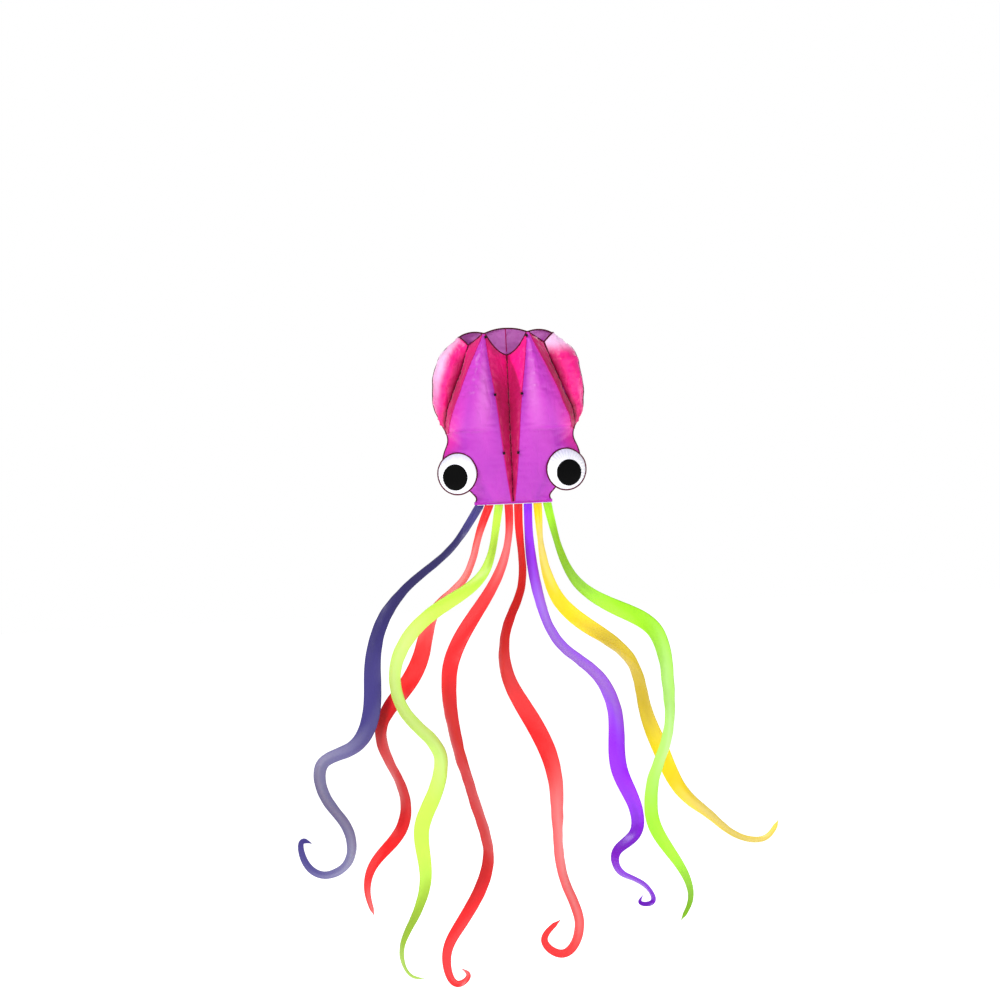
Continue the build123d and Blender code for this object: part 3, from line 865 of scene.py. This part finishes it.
def tints(node, u, level):
    """Shares of painted shade (deep), of a second colour (warm) and of painted highlight (pale) at u across a
    panel and a level of the head.
    """
    left = node.endswith("left")
    if node.startswith("front_panel"):
        # Front panels: painted shade low down, beside the ridge higher up and in a lengthwise band, a second
        # colour towards the outer edge, and a small painted highlight.
        deep = 0.10 + 0.65 * bump_at(u, 0.05, 0.10) * smoothstep(0.30, 0.62, level)
        deep += 0.55 * (1 - smoothstep(0.15, 0.62, level)) + 0.25 * bump_at(u, 0.62, 0.10)
        warm = 0.55 * smoothstep(0.60, 1.0, u) * bump_at(level, 0.42 if left else 0.40, 0.15)
        warm += 0.22 * smoothstep(0.80, 1.0, u) * smoothstep(0.5, 0.7, level) * (0 if left else 1)
        return deep, warm, 0.20 * bump_at(u, 0.30, 0.16) * bump_at(level, 0.66, 0.20)
    if node.startswith("centre_gore"):
        # Centre gores: painted shade, lighter towards the top on the left.
        if left:
            return 0.68 - 0.38 * smoothstep(0.62, 0.95, level), 0, 0
        # On the right gore a pointed lit patch is painted, widest at the top and narrowing down along the ridge,
        # with painted shade beside and below it.
        lit = smoothstep(0.0, 0.10, u - 1 + 1.15 * max(0.0, (level - 0.63) / 0.30))
        return 0.72 * (1 - lit) + 0.02, 0, 0
    if node.startswith("side_gore"):
        # Side gores: painted shade, lighter near the top.
        return (0.62 if left else 0.78) - 0.35 * smoothstep(0.80, 0.97, level), 0, 0
    if node.startswith("side_lobe"):
        # Lobes: painted shade along the side valley and low down.
        deep = 0.85 * (1 - smoothstep(0.02, 0.30, u)) * (1 - smoothstep(0.84, 0.95, level))
        deep += 0.60 * (1 - smoothstep(0.42, 0.66, level)) * (1 - smoothstep(0.5, 1.0, u))
        if left:
            # The left lobe's outer upper part carries a broad painted highlight.
            pale = 0.8 * smoothstep(0.30, 0.62, u) * smoothstep(0.50, 0.82, level)
            pale += 0.25 * smoothstep(0.75, 1, u)
            pale *= 1 - 0.45 * bump_at(u, 0.97, 0.06)
        else:
            # The right lobe carries a painted highlight along its top and in a small spot.
            pale = 0.95 * smoothstep(0.86, 0.95, level) + 0.25 * bump_at(u, 0.62, 0.10) * bump_at(
                level, 0.62, 0.06)
        return deep, 0.35 * smoothstep(0.6, 1.0, u) * bump_at(level, 0.78, 0.1), pale
    # Back panels: light painted shade all over and a painted highlight towards the top.
    return 0.12, 0, 0.35 * smoothstep(0.72, 0.95, level)


def tops_raised(part):
    """Lifts an open top edge between its seams, or lowers it where a gore is cut so."""
    rises = {"back_panel_side": 0.018, "back_panel_middle": 0.007, "side_lobe": 0.016,
             "centre_gore": -0.022}
    rise = rises.get(part["node"].rsplit("_", 1)[0])
    if not rise:
        return
    rows, columns = part["points"].shape[:2]
    for i in range(rows):
        lift = rise * smoothstep(0.86, 1.0, i / (rows - 1))
        for j in range(columns):
            u = j / (columns - 1)
            part["points"][i, j, 2] += lift * 4 * u * (1 - u)


class KITE_OT_head_cloth(Operator):
    """Sew and fill the head: fronts, gores, lobes, backs and ribs"""
    bl_idname = "kite.head_cloth"
    bl_label = "Head cloth"

    def execute(self, context):
        settings = context.scene.kite_head
        noise.seed_set(NOISE_SEED)  # vector noise starts from the clock otherwise
        plan, seams = head_plan()
        parts = []
        for node, slot, a, b, span_a, span_b, away, rise in plan:
            points, flat = cloth_points(a, b, span_a, span_b, away, rise, settings.spacing)
            outward = normals_of(points, False)
            flip = (outward.mean((0, 1)) @ np.array(away, float)) < 0
            parts.append(dict(node=node, slot=slot, points=points, flat=flat, flip=flip))
        blown(parts, settings)
        for seed, part in enumerate(parts):
            if part["node"].startswith("front_panel"):
                room_for_eye(part)
            creased(part, settings, seed * 5.3)
            puckered(part, settings, seed * 13.7)
            tops_raised(part)
            part["points"] = crumpled(part["points"])
            self.panel(part, settings)
        self.ribs(seams, settings)
        for name, seam in seams.items():
            self.seam(name, seam)
        self.lips(parts)
        return {"FINISHED"}

    def panel(self, part, settings):
        """One cloth panel of the head; its flat area is that of the finished cloth less its slack."""
        points, flat = part["points"], part["flat"]
        rows, columns = points.shape[:2]
        # Each point's shares of painted shade, of a second colour and of painted highlight.
        shares = np.array([[
            tints(part["node"], j / (columns - 1), (points[i, j, 2] - HEM_LEVEL) / HEAD_HEIGHT)
            for j in range(columns)] for i in range(rows)])
        if part["flip"]:
            points, flat, shares = points[:, ::-1], flat[:, ::-1], shares[:, ::-1]
        piece = grid_mesh(part["node"] + "_cloth", points, flat)
        for k, label in enumerate(("fold", "warm", "pale")):
            set_attribute(piece.data, label, np.clip(shares[..., k], 0, 1))
        walled(piece, settings.thickness, -1)
        area = sheet_area(part["points"]) / (1 + settings.slack)
        finish(piece, "head", part["slot"], material(part["slot"]), part["node"])

    def ribs(self, seams, settings):
        """Inner walls that tie the front valleys to the back seams."""
        ties = {"centre_rib": ("centre_valley_binding", "back_middle_binding")}
        for side in SIDES:
            ties[f"side_rib_{side}"] = (f"side_valley_binding_{side}", f"back_side_binding_{side}")
        for node, (front, back) in ties.items():
            low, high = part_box(node)[0].z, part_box(node)[1].z
            rows = int((high - low) / RIB_ROW)
            points = np.zeros((rows + 1, RIB_COLUMNS + 1, 3))
            flat = np.zeros((rows + 1, RIB_COLUMNS + 1, 2))
            for i in range(rows + 1):
                level = low + (high - low) * i / rows
                a, b = seams[front].at(level), seams[back].at(level)
                for j in range(RIB_COLUMNS + 1):
                    u = j / RIB_COLUMNS
                    points[i, j] = a + (b - a) * u
                    wave = noise.noise(Vector((u * 3, level * 7, 5)))
                    points[i, j, 0] += RIB_WAVE * wave * math.sin(math.pi * u)
                    flat[i, j] = (u * np.linalg.norm(b - a), level - low)
            area = sheet_area(points)
            piece = grid_mesh(node + "_wall", points, flat)
            # An even painted shade over the whole inner wall.
            set_attribute(piece.data, "fold", np.full(points.shape[:2], 0.35))
            walled(piece, settings.thickness, 0)
            finish(piece, "head", "rib_ripstop", material("rib_ripstop"), node)

    def seam(self, name, seam):
        """A rolled seam, narrower than its solid so that it reads as sewn tape."""
        steps = int((seam.high - seam.low) / TAPE_STEP)
        levels = np.linspace(seam.low + 0.002, seam.high - 0.002, steps)
        line = crumpled(np.array([seam.at(level) for level in levels]))
        fine = name.startswith(("ridge", "back", "shoulder"))
        face = (0, 1, 0) if name.startswith("back") else (0, -1, 0)
        radius = FINE_SEAM if fine else DARK_SEAM
        piece = rolled_tape(name + "_tape", eased(line, 3), radius, face=face)
        look = "pink_binding" if fine else "crimson_binding"
        finish(piece, "head", "crimson_binding", material(look), name)

    def lips(self, parts):
        """Rolled hems along the open top edges, over the cloth as it really lies."""
        tops = {part["node"]: part["points"][-1] for part in parts}

        def chain(names):
            right = [tops[f"{name}_right"][::step] for name, step in names]
            left = [tops[f"{name}_left"][::step] for name, step in names]
            whole = np.concatenate([line[::-1] for line in reversed(left)] + right)
            return eased(evenly(whole, TAPE_STEP), 4)

        front = chain([("centre_gore", 1), ("front_panel", 1), ("side_gore", 1), ("side_lobe", 1)])
        back = chain([("back_panel_middle", -1), ("back_panel_side", -1)])
        for name, line in (("mouth_binding_front", front), ("mouth_binding_back", back)):
            piece = rolled_tape(name + "_tape", line, LIP, face=(0, -0.3, 1))
            finish(piece, "head", "crimson_binding", material("crimson_binding"), name)


def sheet_area(points):
    """Area of a grid of points."""
    p, q = points[1:, 1:] - points[:-1, :-1], points[1:, :-1] - points[:-1, 1:]
    return float(np.linalg.norm(np.cross(p, q), axis=2).sum() / 2)


# ---------------------------------------------------------------- eyes
def eye_frame(name):
    """The eye's place, facing and radius, read off its piping and its white."""
    rim = coordinates(frame["nodes"][f"eye_rim_{name}"].data)
    middle = (rim.min(0) + rim.max(0)) / 2
    tube = (rim[:, 2].max() - rim[:, 2].min()) / 2
    centred = rim - middle
    facing = np.linalg.svd(centred, full_matrices=False)[2][2]
    if facing[1] > 0:
        facing = -facing
    thick = np.abs(centred @ facing).max()
    radius = tube - thick
    up = np.array([0, 0, 1.0])
    across = np.cross(up, facing)
    across /= np.linalg.norm(across)
    up = np.cross(facing, across)
    return middle, across, up, facing, radius


def room_for_eye(part):
    """Presses a front panel back behind its eye, and eases it out again round the piping."""
    name = part["node"].rsplit("_", 1)[1]
    middle, across, up, facing, radius = eye_frame(name)
    local = part["points"] - middle
    height = local @ facing
    away = np.hypot(local @ across, local @ up)
    allowed = -0.004 + np.maximum(away - radius, 0) * 1.1
    over = np.maximum(height - allowed, 0)
    over[away > radius + 0.08] = 0
    part["points"] = part["points"] - over[..., None] * facing


class KITE_OT_eyes(Operator):
    """Stuff the eye whites, and sew on the pupils and the piping"""
    bl_idname = "kite.eyes"
    bl_label = "Eyes"

    def execute(self, context):
        settings = context.scene.kite_eyes
        for name in SIDES:
            self.one_eye(name, settings)
        return {"FINISHED"}

    def one_eye(self, name, settings):
        """The stuffed white, the felt pupil on it, and the piping round it."""
        middle, across, up, facing, radius = eye_frame(name)
        white_points = coordinates(frame["nodes"][f"eye_white_{name}"].data)
        puff = ((white_points - middle) @ facing).max()
        pupil_points = coordinates(frame["nodes"][f"eye_pupil_{name}"].data)
        pupil_middle = (pupil_points.min(0) + pupil_points.max(0)) / 2 - middle
        pupil_at = (pupil_middle @ across, pupil_middle @ up)
        pupil_radius = np.ptp(pupil_points[:, 2]) / 2

        def edge(angle):
            """How far the stuffed outline strays from round."""
            spot = Vector((math.cos(angle) * 1.1, math.sin(angle) * 1.1, radius * 10 + middle[0] * 4))
            return 1 + 0.022 * noise.noise(spot) + 0.006 * noise.noise(spot * 4)

        def crown(x, y):
            """Height of the stuffed white."""
            away = math.hypot(x, y)
            angle = math.atan2(y, x)
            r = min(away / (radius * edge(angle)), 1)
            gather = smoothstep(0.45, 0.98, r)
            wave = math.sin(settings.gathers * angle + 2.3 * noise.noise(Vector((x * 9, y * 9, 0.5))))
            sag = 0.0022 * noise.noise(Vector((x * 14, y * 14, 3.1)))
            dome = puff * (1 - r ** 2.6) ** 0.75
            return dome + sag * (1 - r) + settings.gather_height * gather * wave * (1 - r ** 10)

        def disc(label, at, size, lift, rings, spokes, closed):
            """A round of cloth that lies on the crown, with a flat back where it is closed."""
            mesh = bmesh.new()
            layer = mesh.loops.layers.uv.new("Cloth")
            places = {}

            def point(x, y, z):
                corner = mesh.verts.new(Vector(middle + across * x + up * y + facing * z))
                places[corner] = (x, y)
                return corner

            centre = point(at[0], at[1], crown(*at) + lift)
            previous = None
            for ring in range(1, rings + 1):
                r = size * ring / rings
                current = []
                for spoke in range(spokes):
                    angle = math.tau * spoke / spokes
                    stray = edge(angle) if closed else 1 + (edge(angle * 2 + 1) - 1) * 0.7
                    x, y = at[0] + r * stray * math.cos(angle), at[1] + r * stray * math.sin(angle)
                    drop = lift * (1 - smoothstep(0.93, 1.0, ring / rings))
                    current.append(point(x, y, crown(x, y) + (drop if not closed else 0)))
                for spoke in range(spokes):
                    after = (spoke + 1) % spokes
                    if previous is None:
                        mesh.faces.new((centre, current[spoke], current[after]))
                    else:
                        mesh.faces.new(
                            (previous[spoke], current[spoke], current[after], previous[after]))
                previous = current
            if closed:
                back = [point(*places[corner], -0.006) for corner in previous]
                for spoke in range(spokes):
                    after = (spoke + 1) % spokes
                    mesh.faces.new((previous[spoke], back[spoke], back[after], previous[after]))
                mesh.faces.new(list(reversed(back)))
            for face in mesh.faces:
                for loop in face.loops:
                    loop[layer].uv = places[loop.vert]
            bmesh.ops.recalc_face_normals(mesh, faces=mesh.faces)
            data = bpy.data.meshes.new(label)
            mesh.to_mesh(data)
            mesh.free()
            piece = linked(label, data)
            spots = [self.local(v.co, middle, across, up) for v in data.vertices]
            # Painted shade: darker towards the rim and, more, towards the top, most on the left half.
            shade = [0.30 * smoothstep(0.55, 1.0, math.hypot(*spot) / radius)
                     + 0.55 * smoothstep(0.1, 0.9, spot[1] / radius) * (1 if spot[0] < 0.02 else 0.6)
                     for spot in spots]
            set_attribute(data, "fold", shade)
            smooth_shaded(piece)
            return piece

        white = disc(f"eye_white_pad_{name}", (0, 0), radius, 0, 44, 204, True)
        finish(white, "head", "eye_white", material("eye_white"), f"eye_white_{name}")
        pupil = disc(f"eye_pupil_disc_{name}", pupil_at, pupil_radius, 0.0022, 26, 120, False)
        walled(pupil, PUPIL_FELT, -1)
        finish(pupil, "head", "eye_black", material("eye_black"), f"eye_pupil_{name}")
        line = []
        for step in range(241):
            angle = math.tau * step / 240
            r = (radius + 0.0015) * edge(angle)
            line.append(middle + across * r * math.cos(angle) + up * r * math.sin(angle)
                        + facing * 0.001)
        piping = rolled_tape(
            f"eye_piping_{name}", line, PIPING, face=tuple(facing), gather=0.05, closed=True)
        finish(piping, "head", "eye_black", material("crimson_binding"), f"eye_rim_{name}")

    @staticmethod
    def local(point, middle, across, up):
        way = np.array(point) - middle
        return way @ across, way @ up


# ---------------------------------------------------------------- hem and bridle loops
class KITE_OT_hem(Operator):
    """Fold the band along the skirt, and sew the bridle loops into the ridges"""
    bl_idname = "kite.hem"
    bl_label = "Hem and bridle loops"

    def execute(self, context):
        self.band()
        for mount in frame["record"]["mounts"]:
            if mount["kind"] == "bore":
                self.loop(mount)
        return {"FINISHED"}

    def band(self):
        """A folded band: its cross-section is a flat loop, drawn in a little between the tails."""
        low, high = HEM
        half = np.array([0, (high.y - low.y) / 2, (high.z - low.z) / 2])
        steps, around = 260, 28
        rows = np.zeros((steps + 1, around + 1, 3))
        flat = np.zeros((steps + 1, around + 1, 2))
        for i in range(steps + 1):
            x = low.x + (high.x - low.x) * i / steps
            puff = 1 + 0.10 * noise.noise(Vector((x * 26, 0, 1.7)))
            end = 1 - 0.5 * max(0.0, (abs(x - HEM_MIDDLE.x) - (high.x - low.x) / 2 + 0.004) / 0.004)
            for j in range(around + 1):
                angle = math.tau * j / around
                c, s = math.cos(angle), math.sin(angle)
                y = math.copysign(abs(c) ** 0.6, c) * half[1] * puff * end * 0.8
                z = math.copysign(abs(s) ** 0.35, s) * half[2] * (0.5 + 0.5 * end)
                sag = 0.0006 * noise.noise(Vector((x * 60, 3.0, 0)))
                rows[i, j] = (x, HEM_MIDDLE.y + y, HEM_MIDDLE.z + z + sag)
                flat[i, j] = (x, j / around)
        piece = grid_mesh("hem_band", rows, flat)
        ends_closed(piece)
        finish(piece, "head", "crimson_binding", material("hem_binding"), "hem_tape")

    def loop(self, mount):
        """Webbing folded round the bore, both ends sewn together into the ridge seam."""
        base, along = Vector(mount["pos_m"]), Vector(mount["axis"]).normalized()
        node = mount["name"].removesuffix("_bore")
        radius, wide = mount["dims"]["r_mm"] / 1000, mount["dims"]["length_mm"] / 1000
        wall = WEBBING
        centre = base + along * wide / 2
        low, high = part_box(node)
        inward = (low + high) / 2 - centre
        inward = (inward - along * inward.dot(along)).normalized()
        side = along.cross(inward)
        reach = (high - low).y - radius - wall
        line = [inward * reach * 0.98 + side * wall * 0.6]
        for k in range(29):
            angle = math.radians(28 + (360 - 56) * k / 28)
            line.append((inward * math.cos(angle) + side * math.sin(angle)) * (radius + wall / 2 + 2e-4))
        line.append(inward * reach * 0.98 - side * wall * 0.6)
        mesh = bmesh.new()
        layer = mesh.loops.layers.uv.new("Cloth")
        across = [-0.5, -0.46, -0.25, 0, 0.25, 0.46, 0.5]
        run, rows, previous = 0.0, [], None
        for place in line:
            run += (place - previous).length if previous else 0.0
            previous = place
            rows.append([(mesh.verts.new(centre + place + along * wide * share), run, share + 0.5)
                         for share in across])
        for first, second in zip(rows, rows[1:]):
            for k in range(len(across) - 1):
                corners = (first[k], first[k + 1], second[k + 1], second[k])
                face = mesh.faces.new([corner[0] for corner in corners])
                for loop, corner in zip(face.loops, corners):
                    loop[layer].uv = corner[1:]
        data = bpy.data.meshes.new(node + "_webbing")
        mesh.to_mesh(data)
        mesh.free()
        piece = linked(node + "_webbing", data)
        walled(piece, wall, 0)
        finish(piece, "head", "black_webbing", material("black_webbing"), node)


# ---------------------------------------------------------------- tails
def smooth_row(rows, position):
    """Value by a cubic through (position, value) rows, with slopes from the rows beside each."""
    count = len(rows)

    def slope(i):
        low, high = max(i - 1, 0), min(i + 1, count - 1)
        return (rows[high][1] - rows[low][1]) / (rows[high][0] - rows[low][0])

    i = 0
    while i < count - 2 and position > rows[i + 1][0]:
        i += 1
    (a, value_a), (b, value_b) = rows[i], rows[i + 1]
    span = b - a
    t = (position - a) / span
    return ((2 * t**3 - 3 * t**2 + 1) * value_a + (t**3 - 2 * t**2 + t) * span * slope(i)
            + (3 * t**2 - 2 * t**3) * value_b + (t**3 - t**2) * span * slope(i + 1))


def spline_through(points, count):
    """Evenly spaced points on a natural cubic spline through the route's points."""
    p = np.array(points, float)
    gaps = np.linalg.norm(np.diff(p, axis=0), axis=1)
    n = len(p)
    matrix = np.zeros((n, n))
    right = np.zeros((n, p.shape[1]))
    matrix[0, 0] = matrix[-1, -1] = 1
    for i in range(1, n - 1):
        matrix[i, i - 1] = gaps[i - 1]
        matrix[i, i] = 2 * (gaps[i - 1] + gaps[i])
        matrix[i, i + 1] = gaps[i]
        right[i] = 6 * ((p[i + 1] - p[i]) / gaps[i] - (p[i] - p[i - 1]) / gaps[i - 1])
    second = np.linalg.solve(matrix, right)
    fine = []
    for i in range(n - 1):
        for k in range(60):
            x = gaps[i] * k / 60
            h = gaps[i]
            a, b = (h - x) / h, x / h
            fine.append(a * p[i] + b * p[i + 1]
                        + ((a**3 - a) * second[i] + (b**3 - b) * second[i + 1]) * h * h / 6)
    fine.append(p[-1])
    fine = np.array(fine)
    run = run_along(fine)
    wanted = np.linspace(0, run[-1], count)
    even = np.stack([np.interp(wanted, run, fine[:, k]) for k in range(p.shape[1])], axis=1)
    return even, run[-1]


class KITE_OT_tails(Operator):
    """Cut the eight ribbon tails and sew them into the hem"""
    bl_idname = "kite.tails"
    bl_label = "Tails"

    def execute(self, context):
        settings = context.scene.kite_tails
        longest = spline_through(TAILS[LONGEST]["route"], 2)[1]
        scale = settings.longest / longest
        for order, (name, shape) in enumerate(TAILS.items()):
            self.tail(name, shape, scale, settings, order)
        return {"FINISHED"}

    def tail(self, name, shape, scale, settings, order):
        """One ribbon along its route, twisted, cupped and rippled, and pleated into the hem."""
        hinge = np.array(HINGES[name])
        steps, columns = TAIL_ROWS, TAIL_COLUMNS
        route, run = spline_through(np.array(shape["route"]) * scale, steps + 1)
        root_width = (HEM[1].x - HEM[0].x - HEM_MARGIN) / len(TAILS) - settings.gap
        widths = [(0.0, root_width), *((share, part * settings.width) for share, part in TAIL_OUTLINE),
                  (1.0, settings.tip_width)]
        reach, half_waves = shape["sway"]
        turns, start = shape["twist"]
        points = np.zeros((steps + 1, columns + 1, 3))
        flat = np.zeros((steps + 1, columns + 1, 2))
        fold = np.zeros((steps + 1, columns + 1))
        pale = np.zeros((steps + 1, columns + 1))
        tangents = np.gradient(route, axis=0)
        for i in range(steps + 1):
            u = i / steps
            grown = min(1, u / TWIST_START)
            middle = hinge + np.array([
                route[i, 0], reach * math.sin(math.pi * half_waves * u) * grown, route[i, 1]])
            direction = np.array([tangents[i, 0], 0, tangents[i, 1]])
            if i == 0:
                direction = np.array([0, 0, -1.0])
            direction /= np.linalg.norm(direction)
            flat_side = np.cross([0, 1.0, 0], direction)
            angle = grown * settings.twist * math.sin(math.tau * (turns * u + start))
            front = np.cross(direction, flat_side)
            side = flat_side * math.cos(angle) + front * math.sin(angle)
            normal = np.cross(side, direction)
            width = smooth_row(widths, u)
            width *= 1 - smoothstep(0.985, 1.0, u) * 0.75
            full = width / settings.width
            cup = settings.cup * full * math.sin(math.tau * (2.6 * u + 0.37 * order))
            cup *= smoothstep(0, 0.1, u)
            for j in range(columns + 1):
                v = 2 * j / columns - 1
                s = u * run
                edge = abs(v) ** 3
                ripple = settings.ripple * full * edge * noise.noise(
                    Vector((s * 16, math.copysign(1, v) * 3 + order * 5.0, 0)))
                soft = 0.006 * full * noise.noise(Vector((s * 5.5, v * 0.6, order * 9.0 + 2)))
                pleat = 0.0035 * math.cos(v * math.pi * 2) * (1 - smoothstep(0.0, 0.07, u))
                held = smoothstep(0.0, 0.03, u)
                out = (cup * (1 - v * v) + ripple + soft) * held + pleat * smoothstep(0, 0.012, u)
                points[i, j] = middle + side * (v * width / 2) + normal * out
                flat[i, j] = (v * settings.width / 2, s)
                # Painted shade where the ribbon turns one way and a painted highlight where it turns the other, as
                # a light from one side would give; painted shade also close to the hem, where the ribbon is held.
                lean = angle / settings.twist + 0.25 * noise.noise(Vector((s * 2.1, v, order * 4.0)))
                fold[i, j] = min(1, 0.35 * (1 - held) + 0.75 * smoothstep(0.15, 0.9, lean))
                pale[i, j] = 0.55 * smoothstep(0.25, 0.95, -lean) * (1 - 0.5 * abs(v))
        piece = grid_mesh(name + "_ribbon", points, flat)
        set_attribute(piece.data, "fold", fold)
        set_attribute(piece.data, "pale", pale)
        walled(piece, settings.thickness, 0)
        finish(piece, None, shape["slot"], material(shape["slot"]), name)
        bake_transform(piece)
        shares = [smooth_row(widths, k / 100) for k in range(101)]


# ---------------------------------------------------------------- stage
class KITE_OT_stage(Operator):
    """Lay a pale floor and set the lights and the camera"""
    bl_idname = "kite.stage"
    bl_label = "Stage"

    def execute(self, context):
        settings = context.scene.kite_stage
        scene = context.scene
        middle = Vector((settings.across, HEM_MIDDLE.y, HEM_LEVEL + settings.above))
        self.floor()
        self.camera(scene, settings, middle)
        self.lights(scene, middle)
        scene.view_settings.view_transform = "Standard"
        return {"FINISHED"}

    def floor(self):
        nothing_selected()
        below = CAD_BOX[0][2] - 0.35
        bpy.ops.mesh.primitive_circle_add(
            vertices=96, radius=60, fill_type="NGON", location=(0, 0, below))
        floor = bpy.context.object
        floor.name = "floor"
        paint, make, shader = new_material("Pale floor")
        texture = make.node("ShaderNodeTexCoord")
        cloudy = make.noise(texture.outputs["Object"], 0.7)
        tone = make.mix(cloudy, (0.93, 0.93, 0.93, 1), (0.96, 0.96, 0.96, 1))
        make.fill(shader, Base_Color=tone, Roughness=0.9, Emission_Color=tone,
                  Emission_Strength=0.95)
        floor.data.materials.append(paint)

    def camera(self, scene, settings, middle):
        lens = bpy.data.cameras.new("camera")
        lens.sensor_width = 36
        lens.lens = 36 * settings.distance / settings.width
        lens.clip_end = 200
        eye = linked("camera", lens)
        right = Vector((math.cos(settings.lean), 0, -math.sin(settings.lean)))
        up = Vector((math.sin(settings.lean), 0, math.cos(settings.lean)))
        back = right.cross(up)
        place = middle + back * settings.distance
        turn = Matrix((right, up, back)).transposed().to_4x4()
        eye.matrix_world = Matrix.Translation(place) @ turn
        scene.camera = eye

    def lights(self, scene, middle):
        for name, way, energy, size in (
            ("key", (-5.0, -7.0, 6.0), 500, 3.0),
            ("fill", (6.5, -7.5, 1.0), 80, 6.0),
            ("back", (1.5, 6.0, 5.0), 220, 5.0),
        ):
            light = bpy.data.lights.new(name, "AREA")
            light.energy = energy
            light.size = size
            lamp = linked(name, light)
            lamp.location = middle + Vector(way)
            lamp.rotation_euler = Vector(way).to_track_quat("Z", "Y").to_euler()
        world = scene.world or bpy.data.worlds.new("world")
        scene.world = world
        world.use_nodes = True
        tree = world.node_tree
        tree.nodes.clear()
        make = Maker(tree)
        felt, seen = (
            make.fill(make.node("ShaderNodeBackground"), Color=(1, 1, 1, 1), Strength=strength)
            for strength in (0.32, 1.0))
        path = make.node("ShaderNodeLightPath")
        both = make.node("ShaderNodeMixShader")
        out = make.node("ShaderNodeOutputWorld")
        tree.links.new(path.outputs["Is Camera Ray"], both.inputs[0])
        tree.links.new(felt.outputs[0], both.inputs[1])
        tree.links.new(seen.outputs[0], both.inputs[2])
        tree.links.new(both.outputs[0], out.inputs[0])


# ---------------------------------------------------------------- panel and registration
STEPS = (KITE_OT_head_cloth, KITE_OT_eyes, KITE_OT_hem, KITE_OT_tails, KITE_OT_stage)
GROUPS_OF_SETTINGS = {
    "kite_head": KiteHeadSettings,
    "kite_eyes": KiteEyeSettings,
    "kite_tails": KiteTailSettings,
    "kite_colours": KiteColourSettings,
    "kite_stage": KiteStageSettings,
}


class KITE_PT_panel(Panel):
    """Lists the kite's settings and its building steps"""
    bl_idname = "KITE_PT_panel"
    bl_label = "Octopus kite"
    bl_space_type = "VIEW_3D"
    bl_region_type = "UI"
    bl_category = "Kite"

    def draw(self, context):
        for key, kind in GROUPS_OF_SETTINGS.items():
            column = self.layout.column(align=True)
            for label in kind.__annotations__:
                column.prop(getattr(context.scene, key), label)
        for step in STEPS:
            self.layout.operator(step.bl_idname)


CLASSES = tuple(GROUPS_OF_SETTINGS.values()) + STEPS + (KITE_PT_panel,)


def register():
    for kind in CLASSES:
        bpy.utils.register_class(kind)
    for key, kind in GROUPS_OF_SETTINGS.items():
        setattr(bpy.types.Scene, key, PointerProperty(type=kind))


def unregister():
    for key in GROUPS_OF_SETTINGS:
        delattr(bpy.types.Scene, key)
    for kind in reversed(CLASSES):
        bpy.utils.unregister_class(kind)


def main():
    register()
    bpy.ops.kite.head_cloth()
    bpy.ops.kite.eyes()
    bpy.ops.kite.hem()
    bpy.ops.kite.tails()
    bpy.ops.kite.stage()
    bpy.context.view_layer.update()


if __name__ == "__main__":
    main()
